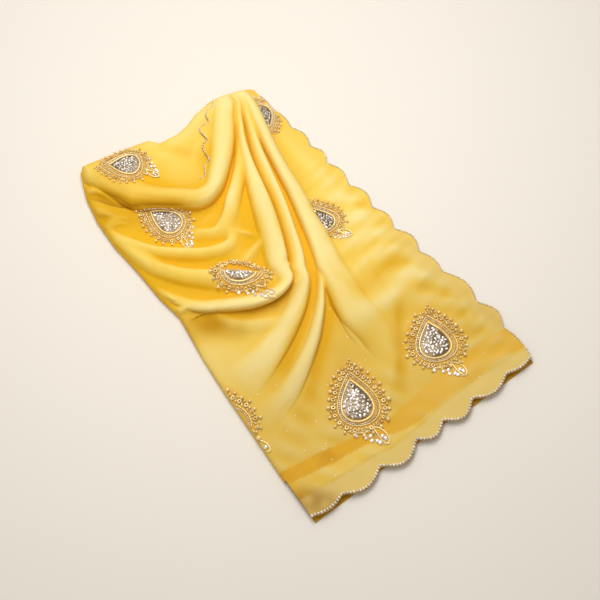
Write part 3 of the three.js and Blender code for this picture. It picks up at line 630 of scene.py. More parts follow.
def readRaster(grid, x, y):  # straight-line reading between the raster's points
    u = np.clip((x - raster["low"][0]) / raster["step"], 0, raster["size"][0] - 1.001)
    v = np.clip((y - raster["low"][1]) / raster["step"], 0, raster["size"][1] - 1.001)
    i, j = u.astype(int), v.astype(int)
    f, g = u - i, v - j
    return ((grid[i, j] * (1 - f) + grid[i + 1, j] * f) * (1 - g)
            + (grid[i, j + 1] * (1 - f) + grid[i + 1, j + 1] * f) * g)


nearHollow, wideHollow = heightRaster()
# each motif: middle, turn of its tip from the y axis, width and length scale, mirrored or not, and the
# fold that hides or tucks away what lies beyond it
motifRows = (
    ((-25, -127), -23, 0.97, 1.00, 1, ""), ((81, -123), -22, 0.98, 0.88, 1, ""),
    ((73, 60), -1, 0.78, 0.66, 1, "edgePleat"), ((102, 203), 168, 0.68, 0.72, 1, "edgePleat"),
    ((-59, 241), 55, 0.68, 0.72, -1, ""), ((-61, 161), 22, 0.76, 0.82, -1, "roll"),
    ((-31, 68), -20, 1.00, 0.92, 1, "middleSwag"), ((-143, -64), -4, 0.95, 1.00, 1, ""))
# one motif lying flat: widths and lengths of its outlines, from the stones outwards, and its rays of beads
motif = {
    "core": (31.0, 43.0), "inner": (34.5, 47.0), "string": (40.5, 55.5), "outer": (45.0, 60.5),
    "drift": 1.3, "raise": 2.0, "lean": 1.1, "stone": 4.1, "rays": 22, "rayFrom": (47.0, 63.0),
    "stoneSizes": ((3.8, 6.4), (2.6, 3.8), (2.2, 3.8)), "rayLong": 9.6, "bead": 4.7,
    "tuckFold": "middleSwag", "behind": 0.35, "before": 0.82,
}


# painted strokes: deep above 0 paints the colour deeper, painted shade and in part more layers lying below;
# deep below 0 paints it paler, painted light shining through; shade paints shadow.
# Columns: half width, softness of the rim, deep, shade, the side it keeps to (0 both, 1 left of its way), and
# its line
toneStrokes = (
    (7, 6, 0.10, 0.75, 1, ((-4, 17), (-27, 13), (-49, 18), (-69, 30))),  # below the long pleat's foot
    (12, 5, 0.60, 0.62, 0, ((-116, 38), (-108, 38), (-95, 31), (-74, 15))),
    (12, 10, 0.10, 0.22, 0, ((7, -53), (-6, -86), (-37, -117))),
    (10, 8, 0.08, 0.15, 0, ((-76, 30), (-59, 8), (-34, -11))),
    (7, 7, 0.50, 0.10, 0, ((18, 11), (-16, -21), (-50, -46), (-78, -64))),
    (8, 6, 0.45, 0.05, 0, ((20, -19), (-11, -53), (-45, -84), (-74, -105))),
    (16, 14, -0.22, 0, 0, ((-104, -9), (-92, -28), (-71, -22))),
    (8, 8, -0.25, 0, 0, ((16, -11), (-19, -42), (-56, -70), (-93, -90))),
    (9, 8, -0.20, 0, 0, ((17, 22), (-18, -3), (-60, -28), (-92, -46))),
    (7, 6, 0.25, 0.05, 0, ((-114, 112), (-97, 91), (-74, 68), (-58, 56))),
    (7, 7, 0.22, 0, 0, ((-86, 115), (-63, 93), (-40, 80))),
    (10, 8, 0.20, 0, 0, ((34, 230), (16, 195), (-4, 186))),
    (7, 6, 0.30, 0.05, 0, ((130, -23), (107, -26), (79, -32), (52, -36))),
    (9, 8, -0.30, 0, 0, ((127, -52), (94, -51), (60, -51), (36, -48))),
    (5, 5, 0.30, 0.04, 0, ((126, -66), (101, -63), (79, -68), (58, -91), (46, -111), (20, -145))),
    (6, 5, 0.35, 0, 0, ((130, -91), (141, -98))),
    (9, 8, 0.25, 0, 0, ((121, -96), (125, -116), (125, -142))),
    (5, 6, 0.10, 0.20, 0, ((146, -124), (150, -145), (147, -158))),
    # painted shadow left of the edge pleat's foot
    (5, 5, 0.50, 0.45, 1, ((26, -10), (19, -27), (17, -50), (20, -74), (20, -94))),
    (18, 16, -0.18, 0, 0, ((107, 79), (101, 45), (64, 5))),
    (4, 4, 0.30, 0, 0, ((105, 56), (127, 50))),
    (8, 9, 0.22, 0, 0, ((-2, 240), (5, 218), (11, 197))),
    (10, 10, -0.12, 0, 0, ((-22, 226), (-19, 202), (-12, 183))),
    (6, 6, 0.40, 0.18, 0, ((-132, -150), (-135, -172), (-136, -193))),
    # the roll's lower half: painted shade and shadow below its edge, and a painted highlight along its crest
    (9, 8, 0.35, 0.0, 0, ((-90, 220), (-80, 200), (-54, 181), (-28, 160), (-10, 154))),
    (7, 6, -0.10, 0, 0, ((-92, 246), (-80, 222), (-69, 205), (-43, 187), (-20, 170))),
    (8, 5, 0.40, 0.75, 1, (
        (-99, 240), (-93, 223), (-86, 210), (-82, 194), (-64, 183), (-47, 170), (-30, 157))),
    (5, 4, 0.30, 0.85, 1, ((-112, 231), (-105, 221), (-98, 209), (-89, 199), (-80, 189))),
    (6, 5, 0.35, 0.22, 0, ((-118, 214), (-112, 200), (-108, 188))),
    (9, 9, 0.20, 0.20, 0, ((-116, 222), (-106, 204), (-90, 188), (-66, 168), (-40, 160))),
    (5, 6, 0.30, 0.10, 0, ((14, 60), (26, 92), (38, 122))),
    (8, 7, 0.30, 0.05, 0, ((4, 148), (-4, 118), (-8, 96))),
    (7, 7, 0.25, 0.05, 0, ((22, 120), (6, 88), (-10, 62))),
    (14, 12, -0.10, 0, 0, ((-60, -60), (-40, -120))),
    # a fold of the layer below shows through the corner, darkened with painted shade
    (11, 6, 0.15, 0.85, 0, ((-127, -180), (-116, -196))),
)
# the end border: places along x, then the facing's upper line, its seam and its lower line
bandLines = np.array([
    (-140, -140, -156, -174), (-115, -144, -161, -178), (-84, -149, -167, -182), (-50, -157, -171, -184),
    (-28, -160, -176, -188), (-6, -161, -182, -188), (12, -160, -185, -187), (36, -157, -183, -184),
    (70, -154, -181, -182), (112, -153, -182, -183), (150, -156, -186, -187)], float)
bandDepth = {
    "left": 1.0, "right": 0.56, "from": -60, "over": 120,  # how golden the facing is, and where that changes
    "upperFade": 1.6, "seamFade": 1.8, "lowerFade": 2.4, "strip": 0.12, "tick": 2.6, "tickShade": 0.22,
    "leftShade": 0.04, "leftUpTo": 20, "leftOver": 60,
}
sheerLook = {"reach": 22, "fade": 14, "from": 40, "over": 80, "side": 0.65, "end": 0.8, "most": 0.85}
# thread tint round the motifs, with the beads' painted shade, given in the band colour: amount, half sizes,
# rim and fade
threadAndShadeLook = {"amount": 0.75, "half": (31, 40), "rim": 1.08, "fade": 0.22}
# painted shade of the lamp's fall-off, darker away from the brightest part: its middle, where the painted
# shade starts, over what, how much
paintedFalloff = {"middle": (40, 170), "from": 130.0, "over": 200.0, "shade": 0.34}


# valley tone, painted shade in hollows and painted highlight on crests: its middle, what near and wide
# hollows add, the strip, the crinkles' painted shade, and how much deeper the upper left part is painted
toneLook = {"middle": 0.42, "near": 0.10, "wide": 0.045, "strip": -0.02, "crinkle": -0.16, "upperLeft": 0.42}
spare = {"band": 0.65, "sheer": 0.6, "threadAndShade": 0.5, "strip": 0.5}  # how far each is kept from the painted fall-off shade
strokeLook = {"crisp": 1.2, "widen": 0.4, "taper": 0.6}  # fades of the crisp side and the ends, rim's share
cover = {"left": 0.6, "top": 1.5, "right": 1.0, "share": 0.92}  # how near the edges and a fold a bead may sit


def foldNamed(name):  # looks a fold up
    return next(fold for fold in folds if fold["name"] == name)


def tucked(plan, hider, inward=True):  # across the fold that holds a motif its distances shrink, or grow back
    if hider != motif["tuckFold"]:
        return plan
    _, side, _, outward, _ = besideFold(plan, foldNamed(hider))
    share = np.where(side < 0, motif["behind"], motif["before"])
    if not inward:
        share = 1 / share
    return plan - outward * (side * (1 - share))[:, None]


def visibleOnly(x, y, hider):  # false past the left fold, off the cloth, and where a fold lies on top
    shown = (x > leftEdge(y) + cover["left"]) & (x < rightEdge(y) - cover["right"])
    shown &= y < topEdge(x) - cover["top"]
    if hider and hider != motif["tuckFold"]:
        _, side, _, _, sizes = besideFold(np.stack([x, y], -1), foldNamed(hider))
        shown &= side > sizes[:, 1] * cover["share"]
    return shown


def strokeTone(x, y):  # adds up the strokes: bells across the line, or one-sided fades from a crisp line
    deep, shade = np.zeros(len(x)), np.zeros(len(x))
    for half, rim, deeper, darker, keep, corners in toneStrokes:
        away, side = besideLine(x, y, corners)
        if keep:
            crisp = smoothRise(1 - away / strokeLook["crisp"])
            amount = np.exp(-away / half) * np.where(side == keep, 1, crisp)
        else:
            amount = np.exp(-(away / (half + strokeLook["widen"] * rim)) ** 2)
        first, last = np.array(corners[0]), np.array(corners[-1])
        taper = min(half + rim, np.hypot(*(last - first)) / 3)
        for end in (first, last):
            past = np.hypot(x - end[0], y - end[1]) / taper
            amount = amount * (1 - strokeLook["taper"] * np.exp(-past ** 2))
        deep += deeper * amount
        shade = np.maximum(shade, darker * amount)
    return deep, shade


def bandTone(x, y):  # golden facing above its seam and a paler strip below it: facing, strip, ticks
    upper, seam, lower = (np.interp(x, bandLines[:, 0], bandLines[:, k]) for k in (1, 2, 3))
    below = smoothRise((upper - y) / bandDepth["upperFade"])
    facing = below * smoothRise((y - seam) / bandDepth["seamFade"])
    strip = below * smoothRise((y - lower) / bandDepth["lowerFade"])
    share = smoothRise((x - bandDepth["from"]) / bandDepth["over"])
    depth = bandDepth["left"] + (bandDepth["right"] - bandDepth["left"]) * share
    stitches = smoothRise(np.sin(x * 2 * np.pi / bandDepth["tick"]))
    ticks = bandDepth["tickShade"] * stitches * (1 - share) * facing
    return depth * facing + bandDepth["strip"] * strip * (1 - facing), strip, ticks


def sheerAmount(x, y, strip):  # single layers along the right and end edges let the pale surface through
    side = smoothRise((x - (rightEdge(y) - sheerLook["reach"])) / sheerLook["fade"])
    side = side * smoothRise((sheerLook["from"] - y) / sheerLook["over"])
    lower = np.interp(x, bandLines[:, 0], bandLines[:, 3])
    end = smoothRise((lower - y) / bandDepth["lowerFade"])
    most = np.maximum(sheerLook["side"] * side * (1 - strip), sheerLook["end"] * end)
    return np.clip(most, 0, sheerLook["most"])


def motifThreadAndShade(x, y):  # thread between a motif's beads tints the cloth, with the beads' painted shade: 1 within its turned ellipse
    total = np.zeros(len(x))
    for (cx, cy), turn, wide, long, mirror, hider in motifRows:
        plan = tucked(np.stack([x, y], -1), hider, inward=False)
        a = math.radians(turn)
        away = plan - (cx, cy)
        u = (away[:, 0] * math.cos(a) + away[:, 1] * math.sin(a)) / wide - mirror * motif["drift"]
        v = (-away[:, 0] * math.sin(a) + away[:, 1] * math.cos(a)) / long
        reach = np.hypot(u / threadAndShadeLook["half"][0], v / threadAndShadeLook["half"][1])
        threadAndShade = smoothRise((threadAndShadeLook["rim"] - reach) / threadAndShadeLook["fade"])
        total = np.maximum(total, threadAndShade * visibleOnly(x, y, hider))
    return total


def silkTone(x, y):  # valley tone with painted shade and highlight, sheer, band and one minus the painted shade at each place of the plan
    # painted shade deepens the colour in hollows and in the crinkles' troughs, and painted highlight pales
    # the crests
    valley = toneLook["middle"] + toneLook["near"] * readRaster(nearHollow, x, y)
    valley = valley + toneLook["wide"] * readRaster(wideHollow, x, y)
    deep, shade = strokeTone(x, y)
    band, strip, ticks = bandTone(x, y)
    valley = valley + deep + toneLook["strip"] * strip + toneLook["crinkle"] * crinkles(x, y)
    valley = valley + toneLook["upperLeft"] * smoothRise((10 - x) / 60) * smoothRise((y - 20) / 80)
    threadAndShade = motifThreadAndShade(x, y)
    sheer = sheerAmount(x, y, strip)
    spared = np.maximum(spare["band"] * band, spare["sheer"] * sheer)
    spared = np.maximum(spared, np.maximum(spare["threadAndShade"] * threadAndShade, spare["strip"] * strip))
    band = np.maximum(band, threadAndShadeLook["amount"] * threadAndShade)
    # painted fall-off shade, spared on the band, sheer, thread tint and strip
    away = np.hypot(x - paintedFalloff["middle"][0], y - paintedFalloff["middle"][1])
    dark = paintedFalloff["shade"] * smoothRise((away - paintedFalloff["from"]) / paintedFalloff["over"]) * (1 - spared)
    left = bandDepth["leftShade"] * band * smoothRise((bandDepth["leftUpTo"] - x) / bandDepth["leftOver"])
    shade = np.maximum(shade + dark * (1 - shade), ticks + left)
    return np.stack([np.clip(valley, 0, 1), sheer, band, 1 - np.clip(shade, 0, 1)], -1)


# rows along a stretch, share of a first row that runs down the left fold, how much finer the respacing works,
# the cloth's thickness and the angle from which its edges are crisp
stretch = {"rows": 200, "corner": 0.42, "fine": 5, "wall": 0.5, "crisp": 70}
shares = np.linspace(0, 1, stretch["rows"] + 1)


def valleyLine(name):  # points along a valley line, its left end exactly on the left fold
    corners = np.array(valleyLines[name], float)
    if corners[0, 0] < -90:
        corners[0, 0] = leftEdge(corners[0, 1])
    return splinePoints(corners, shares)


def leftStart(fromY, toY):  # outline along the left fold
    def outline(across):  # places at shares of the way
        y = fromY + (toY - fromY) * across
        return np.stack([leftEdge(y), y], -1)
    return outline


def cornerStart(across):  # down the left fold, round the corner and along the end border's seam
    down = across / stretch["corner"]
    foldY = valleyLines["sweepOuter"][0][1]
    y = foldY + (pile["bandLine"] - foldY) * np.minimum(down, 1)
    run = np.clip((across - stretch["corner"]) / (1 - stretch["corner"]), 0, 1)
    x = np.where(down < 1, leftEdge(y), leftEdge(pile["bandLine"])
                 + (valleyLines["edgeInner"][0][0] - leftEdge(pile["bandLine"])) * run)
    return np.stack([x, y], -1)


def ruled(a, b, columns, outline=None):  # straight rulings between two lines, first row on the outline
    across = np.linspace(0, 1, columns + 1)
    plan = a[:, None] + (b - a)[:, None] * across[None, :, None]
    if outline:
        start = a[0] + (b[0] - a[0]) * across[:, None]
        width = np.linalg.norm(b - a, axis=1) / np.linalg.norm(b[0] - a[0])
        plan = plan + (outline(across) - start)[None] * ((1 - shares) ** 2 * width)[:, None, None]
    return plan


def stretchPlan(lineA, lineB, columns, outline=None):  # a stretch between two named valley lines
    return ruled(valleyLine(lineA), valleyLine(lineB), columns, outline)


def dressGrid(plan, lower=None):  # heights and lean over a plan grid
    shape = plan.shape[:2]
    x, y = plan[..., 0].ravel(), plan[..., 1].ravel()
    z, shift = clothForm(x, y)
    if lower:
        z = z - lower(x, y)
    return leanPoints(x, y, z, shift).reshape(*shape, 3)


def evened(plan, columns, lower=None):  # respaces each row's points to even steps along the cloth
    grid = dressGrid(plan, lower)
    least = 0.02
    steps = np.linalg.norm(np.diff(grid, axis=1), axis=2) + least
    length = np.concatenate([np.zeros((len(plan), 1)), np.cumsum(steps, 1)], 1)
    length /= length[:, -1:]
    fine = np.linspace(0, 1, plan.shape[1])
    want = np.linspace(0, 1, columns + 1)
    spread = np.array([np.interp(want, row, fine) for row in length])
    for _ in range(2):
        spread[1:-1] = (spread[:-2] + 2 * spread[1:-1] + spread[2:]) / 4
    place = spread * (plan.shape[1] - 1)
    index = np.minimum(place.astype(int), plan.shape[1] - 2)
    w = (place - index)[..., None]
    rows = np.arange(len(plan))[:, None]
    plan = plan[rows, index] * (1 - w) + plan[rows, index + 1] * w
    return plan, dressGrid(plan, lower)


# the turned edges: rows, how far they bulge and tuck under, how low they reach at the left and the gathers
wrap = {"rows": 7, "bulge": 1.4, "tuck": 2.2, "floor": 0.5, "gathers": 2.2}


def wrapRow(points, outward, lowest):  # half-round nose below a rim: z falls by a cosine, out goes by a sine
    angle = np.linspace(0, math.pi, wrap["rows"] + 1)[1:, None]
    out = wrap["bulge"] * np.sin(angle) - wrap["tuck"] * (angle / math.pi) ** 3
    nose = np.repeat(points[None], wrap["rows"], 0)
    nose[..., :2] += np.array(outward) * out[..., None]
    nose[..., 2] += (lowest - points[None, :, 2]) * (1 - np.cos(angle)) / 2
    return nose


def joined(grids):  # one list of points and faces from several grids of (plan, points)
    plans, points, faces, start = [], [], [], 0
    for plan, grid in grids:
        rows, columns = grid.shape[:2]
        faces.append(gridFaces(rows, columns, start))
        plans.append(plan.reshape(-1, 2))
        points.append(grid.reshape(-1, 3))
        start += rows * columns
    return np.concatenate(plans), np.concatenate(points), np.concatenate(faces)


def leftWrapped(plan, grid):  # adds the nose at the left fold before the first row
    nose = wrapRow(grid[0], (-1.0, 0.0), wrap["floor"])[::-1]
    return np.concatenate([np.repeat(plan[:1], len(nose), 0), plan]), np.concatenate([nose, grid])


def topWrapped(plan, grid):  # adds the nose along the gathered end beside the first column
    nose = wrapRow(grid[:, 0], (0.0, 1.0), wrap["gathers"]).transpose(1, 0, 2)[:, ::-1]
    plan = np.concatenate([np.repeat(plan[:, :1], nose.shape[1], 1), plan], 1)
    return plan, np.concatenate([nose, grid], 1)


def endWrapped(plan, grid):  # adds the nose at the gathers past the last row
    nose = wrapRow(grid[-1], (0.0, 1.0), wrap["gathers"])
    return np.concatenate([plan, np.repeat(plan[-1:], len(nose), 0)]), np.concatenate([grid, nose])


def closedShell(points, faces, wall):  # a second surface one wall below along the normals, and a rim
    a, b, c, d = (points[faces[:, k]] for k in range(4))
    across = np.cross(c - a, d - b)
    normals = np.zeros_like(points)
    for k in range(4):
        np.add.at(normals, faces[:, k], across)
    normals /= np.linalg.norm(normals, axis=1, keepdims=True) + 1e-9
    edges = np.concatenate([faces[:, [k, (k + 1) % 4]] for k in range(4)])
    key = np.sort(edges, 1) @ np.array([len(points), 1])
    _, first, uses = np.unique(key, return_index=True, return_counts=True)
    rim = edges[first[uses == 1]]
    rimFaces = np.stack([rim[:, 1], rim[:, 0], rim[:, 0] + len(points), rim[:, 1] + len(points)], 1)
    return (np.concatenate([points, points - normals * wall]),
            np.concatenate([faces, faces[:, ::-1] + len(points), rimFaces]))


def clothPiece(name, grids):  # one closed thin shell from the stretches' grids, with its tone
    plans, points, faces = joined(grids)
    points, faces, kept = weld(points, faces)
    plans = plans[kept]
    tone = silkTone(plans[:, 0], plans[:, 1])
    points, faces = closedShell(points, faces, stretch["wall"])
    piece = addPiece(name, points, faces, silk, {"tone": np.concatenate([tone, tone])})
    piece.data.set_sharp_from_angle(angle=math.radians(stretch["crisp"]))
    return piece


# the rolled fold's free edge: from which share on it is free, how far the panel below tucks in, its bends
lipEdge = {"from": 0.52, "over": 0.12, "tuck": 9.0, "share": 0.55}
# the free edge's scallops: distance along it from the bend of the roll, and each one's depth
lipScallops = np.array([(-14, 1.5), (0, 3.0), (13, 4.0), (33, 6.5), (59, 8.5), (83, 5.0), (104, 0)])


def lipShare(share):  # how far along the right arm, where the rolled fold's edge is free
    return smoothRise((share - lipEdge["from"]) / lipEdge["over"])


def rolledFoldPlan(columns):  # its free edge is scalloped along the right arm
    plan = stretchPlan("rollInner", "rollFoot", columns, leftStart(247, 204))
    inner = plan[:, 0]
    steps = np.linalg.norm(np.diff(inner, axis=0), axis=1)
    distance = np.concatenate([[0], np.cumsum(steps)])
    ruling = plan[:, -1] - inner
    ruling /= np.linalg.norm(ruling, axis=1, keepdims=True)
    distance -= np.interp(lipEdge["share"], shares, distance)
    out = -scallopReach(lipScallops, distance) * lipShare(shares)
    across = np.linspace(0, 1, columns + 1)
    return plan + ruling[:, None] * (out[:, None] * (1 - across[None]) ** 4)[..., None]


def turnedPanelPlan(columns):  # from the gathered end's edge to the rolled fold, passing under its free edge
    top = valleyLine("panelTop")
    top[:, 1] = topEdge(top[:, 0])
    inner, outer = valleyLine("rollInner"), valleyLine("rollFoot")
    plan = ruled(top, inner, columns)
    ruling = outer - inner
    ruling /= np.linalg.norm(ruling, axis=1, keepdims=True)
    across = np.linspace(0, 1, columns + 1)
    tuck = lipEdge["tuck"] * lipShare(shares)
    return plan + ruling[:, None] * (tuck[:, None] * across[None] ** 4)[..., None]


def lipDrop(x, y):  # how much lower the turned panel lies where it passes under the free edge
    along = smoothRise((x - pile["lipFrom"]) / pile["lipOver"])
    return pile["lip"] * along * smoothRise((topEdge(x) - y) / pile["lipEnd"])


def swagCloth():  # turned panel, rolled fold, the swags and the long pleat
    fine = stretch["fine"]
    grids = [leftWrapped(*endWrapped(*topWrapped(*evened(turnedPanelPlan(40 * fine), 40, lipDrop))))]
    grids.append(endWrapped(*leftWrapped(*evened(rolledFoldPlan(36 * fine), 36))))
    for lineA, lineB, columns, fromY, toY in (("rollFoot", "longInner", 66, 204, 76),
                                              ("longInner", "longOuter", 30, 76, 52)):
        plan = stretchPlan(lineA, lineB, columns * fine, leftStart(fromY, toY))
        grids.append(endWrapped(*leftWrapped(*evened(plan, columns))))
    piece = clothPiece("swagCloth", grids)
    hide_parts("turned_panel", "rolled_fold", "swag_stretch", "long_pleat")
    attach(piece, "root")


def scallopedRight(y):  # the right edge with its scallops
    return rightEdge(y) - 0.5 + scallopReach(sideScallops, y)


def scallopedEnd(x):  # the end edge with its scallops
    return pile["endLine"] - scallopReach(endScallops, x)


def sideBorderPlan(columns):  # from the side seam out to the scalloped right edge
    seam = valleyLine("sideSeam")
    y = pile["bandLine"] + (pile["sideEnd"] - pile["bandLine"]) * shares
    outer = np.stack([scallopedRight(y), y], -1)
    across = np.linspace(0, 1, columns + 1)
    return seam[:, None] + (outer - seam)[:, None] * across[None, :, None]


def endBorderPlan(backX, rows):  # from the border's seam out to the scalloped end
    across = (backX - backX[0]) / (backX[-1] - backX[0])
    down = np.linspace(0, 1, rows + 1)
    roughY = pile["bandLine"] + (pile["endLine"] - pile["bandLine"]) * down[:, None]
    x = leftEdge(roughY) + (scallopedRight(roughY) - leftEdge(roughY)) * across[None]
    y = pile["bandLine"] + (scallopedEnd(x) - pile["bandLine"]) * down[:, None]
    return np.stack([x, y], -1)


def fanCloth():  # fanned pleats, flat panel and both scalloped borders, row upon row from the end seam
    fine = stretch["fine"]
    plan = stretchPlan("longOuter", "sweepOuter", 44 * fine, leftStart(52, -72))
    grids = [endWrapped(*leftWrapped(*evened(plan, 44)))]
    roughColumns = 400
    rough = stretchPlan("sweepOuter", "edgeInner", roughColumns, cornerStart)
    split = int(round(roughColumns * stretch["corner"]))
    grids.append(leftWrapped(*evened(rough[:, :split + 1], 36)))
    plan, grid = evened(rough[:, split:], 56)
    grids.append((plan, grid))
    backRow = [plan[0, :, 0]]
    for lineA, lineB, columns in (("edgeInner", "edgeOuter", 34), ("edgeOuter", "sideSeam", 28)):
        plan, grid = evened(stretchPlan(lineA, lineB, columns * fine), columns)
        grids.append(endWrapped(plan, grid))
        backRow.append(plan[0, 1:, 0])
    plan = sideBorderPlan(12)
    grids.append((plan, dressGrid(plan)))
    backRow.append(plan[0, 1:, 0])
    plan = endBorderPlan(np.concatenate(backRow), 26)
    grids.append((plan, dressGrid(plan)))
    piece = clothPiece("fanCloth", grids)
    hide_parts("sweep_pleat", "lower_stretch", "edge_pleat", "side_panel", "side_border", "end_border")
    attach(piece, "root")


swagCloth()
print("swag cloth ready")
fanCloth()
print("fan cloth ready")


layers = {
    "count": 3, "thick": 1.15, "steps": 6,  # turned edges that show, height of each, points round each
    "bulge": 1.1, "inside": 1.2, "wander": 0.6, "tone": 0.8,  # how far each stands out, and its unevenness
    "left": 1.8, "top": 3.0, "right": 20.0,  # how far inside the cloth's outline they lie
    # left and right end of the gathered end, then far ends of the right and left
    "corners": (-100, 104, 226, 246),
}


def foldedLayers():  # turned edges stacked up: rings round the outline, out by a sine and up by a cosine
    back = underEdge["back"]
    fromX, toX, rightY, leftY = layers["corners"]
    y = np.linspace(back, leftY, 130)
    left = np.stack([leftEdge(y) + layers["left"], y], -1)
    x = np.linspace(fromX, toX, 90)
    top = np.stack([x, topEdge(x) - layers["top"]], -1)
    y = np.linspace(rightY, back, 90)
    right = np.stack([rightEdge(y) - layers["right"], y], -1)
    x = np.linspace(rightEdge(back) - layers["right"], leftEdge(back) + layers["left"], 60)
    end = np.stack([x, np.full(len(x), back)], -1)
    outline = np.concatenate([left, top, right, end[1:-1]])
    way = np.roll(outline, -1, 0) - np.roll(outline, 1, 0)
    way /= np.linalg.norm(way, axis=1, keepdims=True) + 1e-9
    outward = np.stack([-way[:, 1], way[:, 0]], -1)
    along = np.linspace(0, 2 * np.pi, len(outline), endpoint=False)
    rings = []
    for layer in range(layers["count"]):
        wander = 0.9 * np.sin(along * 5 + layer * 2.1) + 0.6 * np.sin(along * 13 + layer * 4.0)
        for step in range(layers["steps"]):
            angle = math.pi * step / (layers["steps"] - 1)
            out = layers["bulge"] * math.sin(angle) - layers["inside"] + wander * layers["wander"]
            height = np.full((len(outline), 1), layers["thick"] * (layer + (1 - math.cos(angle)) / 2))
            rings.append(np.concatenate([outline + outward * out[:, None], height], 1))
    count = len(outline)
    grid = np.concatenate([np.array(rings), np.array(rings)[:, :1]], 1)
    faces = gridFaces(grid.shape[0], grid.shape[1])[:, ::-1]
    points = grid.reshape(-1, 3)
    caps = [list(range(count)), list(range(len(points) - count - 1, len(points) - 1))[::-1]]
    key = np.round(points, 4)
    _, first, back = np.unique(key, axis=0, return_index=True, return_inverse=True)
    back = back.ravel()
    faces = [list(back[face]) for face in faces] + [list(back[cap]) for cap in caps]
    tone = silkTone(points[first][:, 0], points[first][:, 1])
    tone[:, 0] = layers["tone"]
    piece = addPiece("foldedLayers", points[first], faces, silk, {"tone": tone})
    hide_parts("hidden_layers")
    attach(piece, "root")


def underBorder():  # the lowest layer's straight hem below the lifted scallops, gently waved
    across, down = (np.linspace(0, 1, count) for count in underEdge["points"])
    hidden = underEdge["back"] + underEdge["hidden"]
    y = hidden + (underEdge["y"] - hidden) * down[:, None]
    left = leftEdge(y) + underEdge["left"]
    x = left + (rightEdge(y) - underEdge["right"] - left) * across[None]
    middle = smoothRise((x - underEdge["liftFrom"]) / 30) * smoothRise((underEdge["liftTo"] - x) / 30)
    y = y + underEdge["lift"] * down[:, None] ** 4 * middle
    z = underEdge["level"] + underEdge["wave"] * np.sin(x * 0.09 + 1.0) * (underEdge["back"] - y) / 45
    grid = np.stack([x, y, z], -1)
    points, faces, _ = weld(grid.reshape(-1, 3), gridFaces(*grid.shape[:2]))
    tone = silkTone(points[:, 0], points[:, 1])
    # painted shadow: the hem under the lifted scallops gets a deep, shaded tone
    tone[:] = underEdge["tone"]
    piece = addPiece("underBorder", points, faces, silk, {"tone": tone})
    shell = piece.modifiers.new("wall", "SOLIDIFY")
    shell.thickness = underEdge["wall"] * mm
    shell.offset = -1.0
    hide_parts("under_border")
    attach(piece, "root")


foldedLayers()
underBorder()
print("layers below ready")


# small shapes that are copied onto the cloth as joined meshes
def rings(profile, sides):  # solid of revolution: rings of (radius, height) round z, poles at radius 0
    angle = np.linspace(0, 2 * np.pi, sides, endpoint=False)
    points, faces, rows = [], [], []
    for radius, height in profile:
        start = len(points)
        if radius == 0:
            points.append((0, 0, height))
            rows.append([start] * sides)
        else:
            points += [(radius * math.cos(a), radius * math.sin(a), height) for a in angle]
            rows.append(list(range(start, start + sides)))
    for low, high in zip(rows[:-1], rows[1:]):
        for k in range(sides):
            corners = [low[k], low[(k + 1) % sides], high[(k + 1) % sides], high[k]]
            faces.append(list(dict.fromkeys(corners)))
    return np.array(points, float), faces


roundBead = rings([(0, -0.5), (0.35, -0.35), (0.5, 0), (0.35, 0.35), (0, 0.5)], 8)
cutStone = rings([(0, -0.5), (0.5, -0.1), (0.34, 0.34), (0, 0.42)], 6)
longBead = rings([(0, -0.5), (0.5, -0.42), (0.5, 0.42), (0, 0.5)], 6)  # lies along x once it is turned
longBead = (longBead[0][:, [2, 0, 1]], longBead[1])


def ringShape(sides=10, steps=5, inner=0.3):  # small loop lying flat: circle carried round a circle
    turns = (np.arange(count) * 2 * np.pi / count for count in (sides, steps))
    a, b = np.meshgrid(*turns, indexing="ij")
    thick = (1 - inner) / 4
    reach = 0.5 - thick + thick * np.cos(b)
    points = np.stack([reach * np.cos(a), reach * np.sin(a), thick * np.sin(b)], -1).reshape(-1, 3)
    index = np.arange(sides * steps).reshape(sides, steps)
    east, north = np.roll(index, -1, 0), np.roll(index, -1, 1)
    faces = np.stack([index, east, np.roll(east, -1, 1), north], -1).reshape(-1, 4)
    return points, faces.tolist()


loopBead = ringShape()


def onCloth(x, y):  # places on the cloth with the cloth's own east, north and up directions there
    step = 0.5

    def top(x, y):  # the cloth's leaned points
        return leanPoints(x, y, *clothForm(x, y))

    east = top(x + step, y) - top(x - step, y)
    north = top(x, y + step) - top(x, y - step)
    up = np.cross(east, north)
    up /= np.linalg.norm(up, axis=1, keepdims=True)
    return top(x, y), east / (2 * step), north / (2 * step), up


